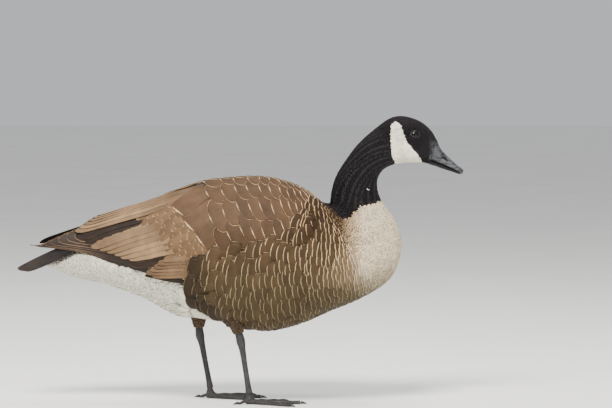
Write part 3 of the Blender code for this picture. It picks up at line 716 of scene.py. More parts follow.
@dataclass(frozen=True)
class HornFinish:
    """The finish of bill and claws: horn with fine streaks along it and a soft gloss."""

    name: str
    dark: Colour = srgb(22, 23, 25)
    light: Colour = srgb(82, 84, 87)
    roughness: float = 0.32
    specular: float = 0.4

    def material(self) -> bpy.types.Material:
        """Builds the material.

        Returns:
            The material.
        """
        made, shader, surface = new_material(self.name)
        place = shader.node("ShaderNodeTexCoord").outputs["Object"]
        stretched = shader.node("ShaderNodeMapping", Vector=place, Rotation=(0, math.radians(38), 0),
                                Scale=(60.0, 420.0, 420.0)).outputs[0]
        streaks = shader.noise(1.0, 4.0, stretched)
        clouds = shader.noise(120.0, 3.0)
        # The mesh's shade attribute darkens the horn: painted shade in the nostrils, the dark point of
        # feathers on the culmen, a darker root and the near-black lower half.
        painted_shade_and_dark_marks = shader.attribute("shade").outputs["Fac"]
        tone = shader.mix(shader.ramp(shader.math("ADD", shader.math("MULTIPLY", streaks, 0.6),
                                                  shader.math("MULTIPLY", clouds, 0.4)), 0.34, 0.66),
                          self.dark, self.light)
        shader.feed(surface.inputs["Base Color"], shader.mix(painted_shade_and_dark_marks, tone, HORN_DARK))
        shader.feed(surface.inputs["Roughness"], shader.ramp(clouds, 0.3, 0.7, self.roughness - 0.06,
                                                             self.roughness + 0.12))
        shader.bump(surface, 0.22, 0.0003, streaks)
        surface.inputs["Specular IOR Level"].default_value = self.specular
        return made


@dataclass(frozen=True)
class ScaleFinish:
    """The finish of legs, toes and webs: small scales in dark skin."""

    name: str
    dark: Colour = srgb(22, 21, 22)
    light: Colour = srgb(66, 62, 60)
    cells: float = 620.0

    def material(self) -> bpy.types.Material:
        """Builds the material.

        Returns:
            The material.
        """
        made, shader, surface = new_material(self.name)
        place = shader.node("ShaderNodeTexCoord").outputs["Object"]
        cells = shader.node("ShaderNodeTexVoronoi", {"feature": "DISTANCE_TO_EDGE"}, Vector=place,
                            Scale=self.cells).outputs["Distance"]
        plate = shader.ramp(cells, 0.02, 0.22)
        clouds = shader.noise(90.0, 3.0)
        tone = shader.mix(shader.math("MULTIPLY", plate, shader.ramp(clouds, 0.3, 0.7, 0.35, 1.0)),
                          self.dark, self.light)
        shader.feed(surface.inputs["Base Color"], tone)
        shader.feed(surface.inputs["Roughness"], shader.ramp(plate, 0.0, 1.0, 0.7, 0.42))
        shader.bump(surface, 0.5, 0.0004, plate)
        surface.inputs["Specular IOR Level"].default_value = 0.4
        return made


@dataclass(frozen=True)
class EyeFinish:
    """The finish of an eye: black pupil, dark brown iris and a wet cornea."""

    name: str
    iris: Colour = srgb(22, 14, 10)

    def material(self) -> bpy.types.Material:
        """Builds the material.

        Returns:
            The material.
        """
        made, shader, surface = new_material(self.name)
        away = shader.attribute("shade").outputs["Fac"]
        ring = shader.ramp(away, 0.30, 0.36)
        outer = shader.ramp(away, 0.62, 0.72)
        flecks = shader.ramp(shader.noise(900.0, 3.0), 0.3, 0.7, 0.5, 1.1)
        iris = shader.node("ShaderNodeVectorMath", {"operation": "SCALE"}, Scale=flecks)
        iris.inputs[0].default_value = self.iris
        tone = shader.mix(outer, shader.mix(ring, PUPIL, iris.outputs[0]), EYE_RIM)
        shader.feed(surface.inputs["Base Color"], tone)
        surface.inputs["Roughness"].default_value = 0.1
        surface.inputs["Specular IOR Level"].default_value = 0.2
        return made


@dataclass(frozen=True)
class FloorFinish:
    """The finish of the plain pale floor."""

    name: str = "studio_floor"
    colour: Colour = srgb(246, 245, 242)

    def material(self) -> bpy.types.Material:
        """Builds the material.

        Returns:
            The material.
        """
        made, shader, surface = new_material(self.name)
        shader.feed(surface.inputs["Base Color"], shader.mix(
            shader.ramp(shader.noise(3.0), 0.3, 0.7), self.colour, tuple(c * 0.96 for c in self.colour)))
        surface.inputs["Roughness"].default_value = 0.75
        return made


def add_piece(name: str, mesh: bpy.types.Mesh,
              material: bpy.types.Material | None = None) -> bpy.types.Object:
    """Puts a mesh into the scene as a piece.

    Args:
        name: The piece's name.
        mesh: Its mesh, in metres, at its place.
        material: Its finish.

    Returns:
        The piece's object.
    """
    obj = bpy.data.objects.new(name, mesh)
    bpy.context.scene.collection.objects.link(obj)
    if material:
        mesh.materials.clear()
        mesh.materials.append(material)
    return obj


def faces_out(mesh: bpy.types.Mesh, merge: float = 0.0) -> None:
    """Turns a closed mesh's faces outwards.

    Args:
        mesh: The mesh.
        merge: Points that lie closer than this are joined first.
    """
    work = bmesh.new()
    work.from_mesh(mesh)
    if merge:
        bmesh.ops.remove_doubles(work, verts=work.verts, dist=merge)
    bmesh.ops.recalc_face_normals(work, faces=work.faces)
    work.to_mesh(mesh)
    work.free()


def applied(obj: bpy.types.Object) -> bpy.types.Mesh:
    """Applies an object's modifiers.

    Args:
        obj: The object.

    Returns:
        Its new mesh.
    """
    bpy.context.view_layer.update()
    graph = bpy.context.evaluated_depsgraph_get()
    mesh = bpy.data.meshes.new_from_object(obj.evaluated_get(graph))
    obj.modifiers.clear()
    obj.data = mesh
    return mesh


def grid_mesh(name: str, points: np.ndarray, closed: bool, capped: bool) -> bpy.types.Mesh:
    """A mesh through rows of points.

    Args:
        name: The mesh's name.
        points: Rows of points in millimetres.
        closed: True if each row is a ring.
        capped: True if the first and last row are filled.

    Returns:
        The mesh, in metres, with its faces pointing out.
    """
    rows, count = points.shape[:2]
    wrap = count if closed else count - 1
    faces = []
    for i in range(rows - 1):
        for j in range(wrap):
            k = (j + 1) % count
            faces.append((i * count + j, i * count + k, (i + 1) * count + k, (i + 1) * count + j))
    if capped:
        faces.append(tuple(range(count)))
        faces.append(tuple(range((rows - 1) * count, rows * count)))
    mesh = bpy.data.meshes.new(name)
    mesh.from_pydata((points.reshape(-1, 3) * MM).tolist(), [], faces)
    faces_out(mesh)
    mesh.shade_smooth()
    return mesh


def store(mesh: bpy.types.Mesh, name: str, values: np.ndarray, kind: str) -> None:
    """Keeps values on a mesh's points as an attribute.

    Args:
        mesh: The mesh.
        name: The attribute's name.
        values: One row for each point.
        kind: The attribute's type.
    """
    layer = mesh.attributes.new(name, kind, "POINT")
    values = np.asarray(values, np.float32)
    if kind == "FLOAT_COLOR":
        values = np.hstack([values, np.ones((len(values), 1), np.float32)])
    word = {"FLOAT_COLOR": "color", "FLOAT": "value"}.get(kind, "vector")
    layer.data.foreach_set(word, values.ravel())


def feather_points(name: str, root: np.ndarray, middle: np.ndarray, edge: np.ndarray,
                   **vectors: np.ndarray) -> bpy.types.Object:
    """Makes a cloud with one point for each feather.

    Args:
        name: The cloud's name.
        root: The feathers' roots, in millimetres.
        middle: Colours of their middles.
        edge: Colours of their edges.
        **vectors: What the coat's tree reads, by the attributes' names.

    Returns:
        The cloud as an object.
    """
    mesh = bpy.data.meshes.new(name)
    mesh.from_pydata((root * MM).tolist(), [], [])
    for label, values in vectors.items():
        store(mesh, label, values, "FLOAT_VECTOR")
    store(mesh, "middle", middle, "FLOAT_COLOR")
    store(mesh, "edge", edge, "FLOAT_COLOR")
    return add_piece(name, mesh)


def report(piece: bpy.types.Object) -> None:
    """Logs how many triangles a piece has."""
    LOG.info("%s: %d triangles", piece.name, sum(len(face.vertices) - 2 for face in piece.data.polygons))


def vane_faces(rows: int, cols: int) -> np.ndarray:
    """Faces of a closed vane made of an upper sheet and, after its points, a lower one.

    Args:
        rows: How many rows of points each sheet has.
        cols: How many points a row has.

    Returns:
        The faces, by their points.
    """
    half = rows * cols
    faces = []
    for i in range(rows - 1):
        for j in range(cols - 1):
            a = i * cols + j
            faces.append((a, a + 1, a + cols + 1, a + cols))
            faces.append((half + a + cols, half + a + cols + 1, half + a + 1, half + a))
    rim = [(i * cols, (i + 1) * cols) for i in range(rows - 1)]
    rim += [((i + 1) * cols + cols - 1, i * cols + cols - 1) for i in range(rows - 1)]
    rim += [(j + 1, j) for j in range(cols - 1)]
    rim += [((rows - 1) * cols + j, (rows - 1) * cols + j + 1) for j in range(cols - 1)]
    return np.array(faces + [(a, b, half + b, half + a) for a, b in rim])


@dataclass
class Vane:
    """One large feather on a surface that has been laid flat."""

    spine: tuple[tuple[float, float], ...]  # its shaft from root to tip, along and across
    width: float
    tone: Tone
    depth: float = 2.2  # how deep its root lies
    lift: float = 0.3  # how far its tip stands out
    thick: float = 0.35
    blunt: float = 0.26  # share of its length that its tip takes
    square: float = 2.0  # 2 for a round tip, more for a squarer one
    drop: float = 0.0  # how deep the whole of it lies
    camber: float = 0.5
    tilt: float = 0.0  # how far its lower edge stands out over the next one
    risen: float = 0.85  # share of its length over which it comes up to the surface
    side_rim: float = 1.0  # width of the edge colour at its sides, as a share of that at its tip; on the wing's strips that edge is a dark painted shadow line


class VaneField:
    """Large feathers, each a thin closed vane bent over the surface that it lies on."""

    rows = np.array((0.0, 0.12, 0.26, 0.4, 0.54, 0.66, 0.77, 0.86, 0.93, 0.975, 1.0))
    columns = np.array((-1.0, -0.88, -0.45, 0.0, 0.45, 0.88, 1.0))
    patch_columns = np.array((0.0, 0.18, 0.34, 0.5, 0.66, 0.82, 1.0))

    def __init__(self, seed: int) -> None:
        """Starts an empty field with its own fixed chance."""
        self.draw = np.random.default_rng(seed)
        self.vanes: list[Vane] = []

    def sheets(self, vane: Vane, place: Callable) -> tuple[np.ndarray, float]:
        """Points of one vane's upper and lower sheet.

        Args:
            vane: The vane.
            place: Puts points from the flat surface into space.

        Returns:
            The points, in millimetres, and the vane's length.
        """
        line = curve_rows(vane.spine, 8) if len(vane.spine) > 2 else np.array(vane.spine, float)
        run = np.concatenate([[0], np.cumsum(np.linalg.norm(np.diff(line, axis=0), axis=1))])
        shaft = np.stack([np.interp(self.rows * run[-1], run, line[:, i]) for i in (0, 1)], axis=1)
        way = unit(np.gradient(shaft, self.rows, axis=0))
        normal = np.stack([-way[:, 1], way[:, 0]], axis=1)
        body = 0.6 + 0.4 * smooth(self.rows, 0, 0.4)
        end = np.clip(self.rows - 1 + vane.blunt, 0, None) / vane.blunt
        half = vane.width / 2 * body * np.maximum(np.sqrt(np.clip(1 - end ** vane.square, 0, 1)), 0.03)
        fray = self.draw.uniform(0, 0.05, (len(self.rows), len(self.columns)))
        fray = 1 - fray * (np.abs(self.columns) == 1)
        flat = shaft[:, None] + normal[:, None] * (half[:, None] * self.columns * fray)[..., None]
        rise = vane.lift * self.rows - vane.depth * (1 - np.minimum(1, self.rows / vane.risen)) - vane.drop
        bend = vane.camber * (1 - self.columns ** 2) - vane.tilt * self.columns
        high = rise[:, None] + bend * smooth(self.rows, 0, 0.5)[:, None]
        pair = [place(flat[..., 0], flat[..., 1], level) for level in (high, high - vane.thick)]
        return np.vstack([sheet.reshape(-1, 3) for sheet in pair]), float(run[-1])

    def build(self, name: str, place: Callable, finish: FeatherFinish,
              box: tuple[float, ...]) -> bpy.types.Object:
        """Makes one piece of all the vanes.

        Args:
            name: The piece's name.
            place: Puts points from the flat surface into space.
            finish: The vanes' finish.
            box: Lowest and highest place along, then across, for the OFBake map.

        Returns:
            The piece's object.
        """
        rows, cols = len(self.rows), len(self.columns)
        size = 2 * rows * cols
        verts, middle, edge, rim = [], [], [], []
        for vane in self.vanes:
            points, length = self.sheets(vane, place)
            verts.append(points)
            middle.append(np.tile(vane.tone.middle, (size, 1)))
            edge.append(np.tile(vane.tone.edge, (size, 1)))
            beside = vane.side_rim * vane.tone.rim / vane.width * 2
            rim.append(np.tile((vane.tone.rim / length, beside, self.draw.random()), (size, 1)))
        mesh = bpy.data.meshes.new(name)
        shifts = np.arange(len(self.vanes))[:, None, None] * size
        faces = (vane_faces(rows, cols) + shifts).reshape(-1, 4)
        mesh.from_pydata((np.vstack(verts) * MM).tolist(), [], faces.tolist())
        faces_out(mesh)
        index = np.empty(len(mesh.loops), np.int32)
        mesh.loops.foreach_get("vertex_index", index)
        vane_of, local = index // size, index % (rows * cols)
        row, col = local // cols, local % cols
        across, along = (self.columns[col] + 1) / 2, self.rows[row]
        spot = np.array([vane.spine[0] for vane in self.vanes])
        low, high = np.array(box[0::2]), np.array(box[1::2])
        where = 0.01 + 0.97 * np.clip((spot - low) / (high - low), 0, 1)
        patch = np.stack([self.patch_columns[col], along ** 2], axis=1) * PATCH
        for label, spots in (("vane", np.stack([across, along], axis=1)), ("OFBake", where[vane_of] + patch)):
            mesh.uv_layers.new(name=label).data.foreach_set("uv", spots.astype("f").ravel())
        store(mesh, "middle", np.vstack(middle), "FLOAT_COLOR")
        store(mesh, "edge", np.vstack(edge), "FLOAT_COLOR")
        store(mesh, "rim", np.vstack(rim), "FLOAT_VECTOR")
        mesh.shade_smooth()
        return add_piece(name, mesh, finish.material())


@dataclass(frozen=True)
class Plume:
    """One small body feather, which the coat repeats: a closed vane 1 long and 1 wide."""

    name: str
    rows: tuple = ((0.0, 0.34), (0.45, 0.92), (0.8, 0.86), (1.0, 0.24))  # along, and its width there
    columns: tuple = (-1.0, 0.0, 1.0)
    thick: float = 0.03
    arch: float = 0.05  # how far its middle rises over its root and tip
    camber: float = 0.07  # how far its shaft rises over its edges
    short: float = 0.0  # how much shorter its edges are than its shaft

    def build(self) -> bpy.types.Object:
        """Makes the vane, whose root is at the origin and whose tip is at Y 1.

        Returns:
            The vane's object, which is removed once the coat is made.
        """
        rows, cols = len(self.rows), len(self.columns)
        points = []
        for sheet in (0, 1):
            for row, (along, wide) in enumerate(self.rows):
                for c in self.columns:
                    inner = abs(c) < 1 and 0 < row < rows - 1
                    up = self.arch * 4 * along * (1 - along) + self.camber * (1 - c * c) * wide
                    points.append((c * wide / 2, along * (1 - self.short * c * c),
                                   up - (self.thick if sheet and inner else 0)))
        mesh = bpy.data.meshes.new(self.name)
        mesh.from_pydata(points, [], vane_faces(rows, cols).tolist())
        vane = mesh.uv_layers.new(name="vane")
        patch = mesh.uv_layers.new(name="patch")
        for loop in mesh.loops:
            row, col = divmod(loop.vertex_index % (rows * cols), cols)
            vane.data[loop.index].uv = ((self.columns[col] + 1) / 2, self.rows[row][0])
            patch.data[loop.index].uv = (col / (cols - 1), row / (rows - 1))
        faces_out(mesh, merge=1e-5)
        mesh.shade_smooth()
        return add_piece(self.name, mesh)


class CoatTree:
    """The Geometry Nodes tree that sets a feather on each point of a cloud."""

    def __init__(self) -> None:
        """Builds the tree with its named inputs."""
        self.tree = bpy.data.node_groups.new("Feather Coat", "GeometryNodeTree")
        self.tree.is_modifier = True
        face = self.tree.interface
        for label, kind in (("Geometry", "Geometry"), ("Feather", "Object"), ("Finish", "Material"),
                            ("Patch Width", "Float"), ("Size Spread", "Float"), ("Seed", "Int")):
            face.new_socket(label, in_out="INPUT", socket_type="NodeSocket" + kind)
        face.new_socket("Geometry", in_out="OUTPUT", socket_type="NodeSocketGeometry")
        make = Shader(self.tree)
        given = self.tree.nodes.new("NodeGroupInput").outputs
        feather = make.node("GeometryNodeObjectInfo", Object=given["Feather"])
        turn = make.node("FunctionNodeAxesToRotation", {"primary_axis": "Y", "secondary_axis": "Z"},
                         Primary_Axis=self.named("lie", "FLOAT_VECTOR"),
                         Secondary_Axis=self.named("up", "FLOAT_VECTOR"))
        spread = self.tree.nodes.new("FunctionNodeRandomValue")
        spread.data_type = "FLOAT"
        numbers = [socket for socket in spread.inputs if socket.type == "VALUE" and socket.enabled]
        make.feed(numbers[0], make.math("SUBTRACT", 1.0, given["Size Spread"]))
        make.feed(numbers[1], make.math("ADD", 1.0, given["Size Spread"]))
        make.feed(spread.inputs["Seed"], given["Seed"])
        factor = next(socket for socket in spread.outputs if socket.type == "VALUE")
        size = make.node("ShaderNodeVectorMath", {"operation": "SCALE"}, Scale=factor)
        make.feed(size.inputs[0], self.named("size", "FLOAT_VECTOR"))
        placed = make.node("GeometryNodeInstanceOnPoints", Points=given["Geometry"],
                           Instance=feather.outputs["Geometry"], Rotation=turn.outputs[0],
                           Scale=size.outputs[0])
        real = make.node("GeometryNodeRealizeInstances", Geometry=placed.outputs[0])
        patch = make.node("ShaderNodeVectorMath", {"operation": "SCALE"}, Scale=given["Patch Width"])
        make.feed(patch.inputs[0], self.named("patch", "FLOAT_VECTOR"))
        spot = make.node("ShaderNodeVectorMath", {"operation": "ADD"})
        make.feed(spot.inputs[0], patch.outputs[0])
        make.feed(spot.inputs[1], self.named("place", "FLOAT_VECTOR"))
        baked = make.node("GeometryNodeStoreNamedAttribute", {"data_type": "FLOAT2", "domain": "CORNER"},
                          Geometry=real.outputs[0], Name="OFBake", Value=spot.outputs[0])
        dressed = make.node("GeometryNodeSetMaterial", Geometry=baked.outputs[0], Material=given["Finish"])
        end = self.tree.nodes.new("NodeGroupOutput")
        make.feed(end.inputs["Geometry"], dressed.outputs[0])

    def named(self, name: str, kind: str) -> bpy.types.NodeSocket:
        """Adds a node that reads an attribute.

        Args:
            name: The attribute's name.
            kind: Its type.

        Returns:
            The node's output.
        """
        node = self.tree.nodes.new("GeometryNodeInputNamedAttribute")
        node.data_type = kind
        node.inputs["Name"].default_value = name
        return next(socket for socket in node.outputs if socket.enabled and socket.name == "Attribute")

    def apply(self, obj: bpy.types.Object, **values: object) -> None:
        """Runs the tree on an object and keeps the result as its plain mesh.

        Args:
            obj: The cloud of points.
            **values: The tree's inputs, by their names with _ for spaces.
        """
        modifier = obj.modifiers.new("coat", "NODES")
        modifier.node_group = self.tree
        for socket in self.tree.interface.items_tree:
            key = socket.name.replace(" ", "_")
            if getattr(socket, "in_out", "") == "INPUT" and key in values:
                modifier[socket.identifier] = values[key]
        mesh = applied(obj)
        for name in ("lie", "up", "size", "place", "patch"):
            if name in mesh.attributes:
                mesh.attributes.remove(mesh.attributes[name])


@dataclass(frozen=True)
class CoatZone:
    """A stretch of the body with one kind of small feathers.

    The pairs hold values at its front and at its rear.
    """

    name: str
    front: float
    rear: float
    lanes: int
    step: tuple[float, float]
    length: tuple[float, float]
    width: tuple[float, float]
    slot: str
    lift: float
    broad: bool = False
    wave: float = 0.35  # how far a row of tips wanders, as a share of the step
    jitter: float = 0.12
    side_rim: float = 0.6
    arch: float = 1.0  # how far its feathers bulge, as a share of the full bulge


@dataclass
class BodyCoat:
    """The skin and the small feathers of head, neck and body."""

    shape: BodyShape = field(default_factory=BodyShape)
    wing: WingShape = field(default_factory=WingShape)
    plumage: Plumage = field(default_factory=Plumage)
    # How deep the skin lies under the solids, by slice
    depths: tuple = ((0, 3.0), (5, 4.0), (9, 4.0), (12, 3.0), (14, 1.6), (17, 1.2), (23, 0.9))
    # Above this line, as seen from the side, the folded wing covers the body: x and height
    wing_line: tuple = ((-340, 242), (-240, 238), (-170, 217), (-110, 198), (-86, 192), (-66, 200),
                        (-52, 221), (-32, 236), (35, 246), (79, 262), (98, 283), (119, 304), (129, 330),
                        (150, 345))
    # Border of the feathers at the side of the bill: height and x
    bill_line: tuple = ((378, 303), (386, 302), (388.5, 298.5), (391, 302), (396, 307.5), (400, 306.5),
                        (410, 306.5), (415, 307), (417, 316))
    furrow: float = 2.7  # how much paler the crests of the neck's furrows are painted, a painted sheen
    skin_grid: tuple = (144, 96)  # rows of the skin and points round it
    most_push: float = 12.0  # how far the flank's feathers may go out over the body to lie on the wing
    eye: tuple = (279.0, 429.0)
    eye_bare: tuple = (7.7, 6.5)  # half width and half height of the bare ring round an eye
    zones: tuple = (
        CoatZone("head", 23.0, 18.0, 92, (1.3, 1.75), (3.4, 5.6), (2.3, 3.2), "black_plumage", 0.3),
        CoatZone("neck", 18.2, 13.0, 84, (1.8, 2.6), (5.6, 8.6), (3.2, 4.8), "black_plumage", 0.35),
        CoatZone("breast", 13.3, 10.5, 116, (2.4, 4.2), (8.0, 15.0), (5.0, 9.0), "pale_plumage", 0.35,
                 wave=0.5, side_rim=0.3, jitter=0.1),
        CoatZone("shoulder", 10.9, 9.0, 44, (4.6, 8.0), (15.0, 25.0), (17.0, 30.0), "brown_plumage", 0.5,
                 broad=True, wave=0.5, jitter=0.05, side_rim=0.35),
        CoatZone("flank", 9.3, 4.9, 32, (8.0, 11.5), (25.0, 34.0), (32.0, 48.0), "brown_plumage", 0.6,
                 broad=True, wave=0.55, jitter=0.06, side_rim=0.35),
        CoatZone("vent", 5.5, 0.15, 44, (5.5, 6.0), (22.0, 20.0), (16.0, 7.0), "white_plumage", 0.1,
                 broad=True, arch=0.3),
    )

    def depth(self, along: np.ndarray) -> np.ndarray:
        """How deep the skin lies at places along the bird."""
        return read_line(self.depths, along)

    def skin(self) -> bpy.types.Object:
        """Builds the one skin under all the small feathers.

        Returns:
            The skin.
        """
        rows, around = self.skin_grid
        grid_along, grid_degrees = np.meshgrid(np.linspace(0, self.shape.last, rows),
                                               np.linspace(0, 360, around, endpoint=False), indexing="ij")
        points = self.shape.point(grid_along, grid_degrees)
        points = points - self.shape.normal(grid_along, grid_degrees) * self.depth(grid_along)[..., None]
        mesh = grid_mesh("body_skin", points, closed=True, capped=True)
        flat = points.reshape(-1, 3)
        middle, _, _ = self.plumage.paint(flat, np.zeros(len(flat)))
        store(mesh, "middle", middle, "FLOAT_COLOR")
        piece = add_piece("body_skin", mesh, DownFinish().material())
        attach(piece, "root")
        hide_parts("head", "neck", "cheek_strap", "breast", "torso", "rump")
        return piece

    def lanes(self, zone: CoatZone, draw: np.random.Generator) -> dict[str, np.ndarray]:
        """Places a zone's feathers along lanes that run from head to tail.

        Args:
            zone: The zone.
            draw: Where its chance comes from.

        Returns:
            For each feather its place along, its tip's place along, its place round, its share of the
            way from the zone's front to its rear, and its length.
        """
        found = []
        spacing = 360 / zone.lanes
        for lane in range(zone.lanes):
            degrees = (lane + 0.5) * spacing - 180
            along = np.linspace(zone.front, 0, 700)
            points = self.shape.point(along, np.full(len(along), degrees))
            steps = np.linalg.norm(np.diff(points, axis=0), axis=1)
            run = np.concatenate([[0], np.cumsum(steps)])
            share = np.clip((along - zone.front) / (zone.rear - zone.front), 0, 1)
            pace = zone.step[0] + (zone.step[1] - zone.step[0]) * share[1:]
            count = np.concatenate([[0], np.cumsum(steps / pace)])
            sway = zone.wave * (math.sin(degrees * 0.09 + 1) + 0.5 * math.sin(degrees * 0.31))
            targets = np.arange(count[-1]) + sway % 1 + (0.0 if zone.broad else (lane % 2) * 0.5)
            targets = targets + draw.normal(0, zone.jitter, len(targets))
            places = np.interp(targets, count, along)
            keep = (targets < count[-1]) & (places > zone.rear)
            places, targets = places[keep], targets[keep]
            share = np.interp(targets, count, share)
            length = zone.length[0] + (zone.length[1] - zone.length[0]) * share
            length = length * draw.uniform(0.94, 1.06, len(share))
            tips = np.interp(np.interp(targets, count, run) + length, run, along)
            around = degrees + draw.normal(0, zone.jitter * (4 if zone.broad else 1), len(places)) * spacing
            found.append(np.stack([places, tips, around, share, length]))
        return dict(zip(("along", "tip", "degrees", "share", "length"), np.hstack(found)))

    def outer(self, along: np.ndarray, degrees: np.ndarray, height: np.ndarray, push: bool) -> np.ndarray:
        """Points at a height over the body, or over the wing where it stands out further.

        Args:
            along: Places along the bird.
            degrees: Places round it.
            height: Heights over the surface.
            push: True if the points go out over the wing.

        Returns:
            The points, in millimetres.
        """
        points = self.shape.point(along, degrees)
        normal = self.shape.normal(along, degrees)
        if push:
            wide, share = self.wing.width_at(points[..., 0], points[..., 2])
            short = np.clip(wide + 0.8 - np.abs(points[..., 1]), 0, self.most_push)
            points[..., 1] += np.sign(points[..., 1]) * share * short
        return points + normal * np.asarray(height)[..., None]

    def facing(self, along: np.ndarray, degrees: np.ndarray, push: bool) -> tuple[np.ndarray, np.ndarray]:
        """Finds how the outer surface faces.

        Args:
            along: Places along the bird.
            degrees: Places round it.
            push: True if the surface goes out over the wing.

        Returns:
            Directions straight out of the surface, and round it towards the belly.
        """
        zero = 0 * along
        around = self.outer(along, degrees + 1.5, zero, push) - self.outer(along, degrees - 1.5, zero, push)
        ahead = self.outer(np.minimum(along + 0.05, self.shape.last), degrees, zero, push) - self.outer(
            np.maximum(along - 0.05, 0), degrees, zero, push)
        return unit(np.cross(ahead, around)), unit(around) * np.sign(degrees)[:, None]

    def bare(self, points: np.ndarray, margin: float) -> np.ndarray:
        """Tells which places have no feathers: under the wings, round the eyes and on the bill.

        Args:
            points: The places, in millimetres.
            margin: How far the bare ring round an eye is drawn in.

        Returns:
            True for each bare place.
        """
        x, _, z = points.T
        covered = (z > read_line(self.wing_line, x)) & (x < 134) & (x > -215)
        wide, tall = self.eye_bare
        ring = ((x - self.eye[0]) / (wide - margin)) ** 2 + ((z - self.eye[1]) / (tall - margin)) ** 2 < 1
        return covered | ring | (x > read_line(self.bill_line, z)) & (z < self.bill_line[-1][0])

    def cloud(self, zone: CoatZone, seed: int) -> bpy.types.Object:
        """Makes the points of one zone, each with the way its feather lies and its colours.

        Args:
            zone: The zone.
            seed: Start of its chance.

        Returns:
            The cloud as an object.
        """
        draw = np.random.default_rng(seed)
        spots = self.lanes(zone, draw)
        base = self.shape.point(spots["along"], spots["degrees"])
        end = self.shape.point(spots["tip"], spots["degrees"])
        keep = ~(self.bare(base, 0) | (base[:, 0] > 230) & self.bare(end, 1.2))
        behind = read_line(self.plumage.flank_end, base[:, 2]) - base[:, 0]
        keep &= behind > -14 if zone.slot == "white_plumage" else behind < 3 - spots["length"]
        spots = {name: values[keep] for name, values in spots.items()}
        base, end = base[keep], end[keep]
        along, tip_along, degrees, share, length = spots.values()
        width = zone.width[0] + (zone.width[1] - zone.width[0]) * share
        near = smooth(base[:, 2] - read_line(self.wing_line, base[:, 0]), -45, 0) * (base[:, 0] > -60)
        turn = draw.normal(0, 0.04, len(along)) - np.sign(degrees) * near * 0.16 * zone.broad
        turn = turn * length / np.maximum(np.abs(base[:, 1]), 20) * 57
        push = zone.slot != "white_plumage"
        root = self.outer(along, degrees, -self.depth(along) - 0.2, push)
        tip = self.outer(tip_along, degrees + turn, zone.lift + draw.uniform(-0.15, 0.15, len(along)), push)
        lie = unit(tip - root)
        out, down = self.facing((along + tip_along) / 2, degrees + turn / 2, push)
        up = unit(out + down * (zone.broad * (0.01 + 0.09 * near))[:, None])
        seen = base * 0.3 + end * 0.7
        limit = read_line(self.plumage.flank_end, seen[:, 2])
        if zone.slot == "white_plumage":  # the place that gives a feather its colour stays on its zone's side
            seen[:, 0] = np.minimum(seen[:, 0], limit - 6)
        else:
            past = limit - seen[:, 0] > -6
            seen[past] = base[past]
        middle, edge, rim = self.plumage.paint(seen, draw.normal(0, 0.9, len(along)))
        if zone.name == "neck":  # painted sheen on the crests of glossy furrows that run slanting round the neck
            wander = 1.4 * np.sin(np.radians(degrees) * 5 + along * 2.3)
            furrow = smooth(np.sin(np.radians(degrees) * 22 + along * 6 + wander), 0.2, 1.0)
            furrow = furrow * (middle.max(axis=1) < 0.1)
            middle, edge = (tone * (1 + self.furrow * furrow[:, None]) for tone in (middle, edge))
        size = np.stack([width, np.linalg.norm(tip - root, axis=1), length * zone.arch], axis=1) * MM
        spot = np.stack([0.01 + 0.97 * share, 0.01 + 0.97 * ((degrees + 180) % 360) / 360, 0 * share], axis=1)
        shares = np.stack([rim / length, zone.side_rim * rim / width * 2, draw.random(len(along))], axis=1)
        return feather_points(zone.name + "_coat", root, middle, edge, lie=lie, up=up, size=size, place=spot,
                              rim=shares)

    def build(self, tree: CoatTree) -> None:
        """Builds the skin and every zone's feathers.

        Args:
            tree: The tree that sets feathers on points.
        """
        report(self.skin())
        fine = Plume("small_plume").build()
        broad = Plume("broad_plume", rows=((0.0, 0.5), (0.35, 0.88), (0.65, 1.0), (0.88, 0.97), (1.0, 0.8)),
                      columns=(-1.0, -0.66, -0.25, 0.25, 0.66, 1.0), thick=0.012, arch=0.02, camber=0.075,
                      short=0.14).build()
        for number, zone in enumerate(self.zones):
            coat = self.cloud(zone, 11 + number)
            finish = FeatherFinish("fine_feathers", barbs=5.0, shaft=0.0)
            if zone.slot == "white_plumage":
                finish = FeatherFinish("white_feathers", barbs=10.0, shaft=0.0, root_shade=0.05, mottle=0.35)
            elif zone.broad:
                finish = FeatherFinish("body_feathers", barbs=14.0, shaft=0.1)
            tree.apply(coat, Feather=broad if zone.broad else fine, Finish=finish.material(),
                       Patch_Width=PATCH, Size_Spread=0.05, Seed=number)
            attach(coat, "root")
            report(coat)
        for helper in (fine, broad):
            bpy.data.objects.remove(helper, do_unlink=True)


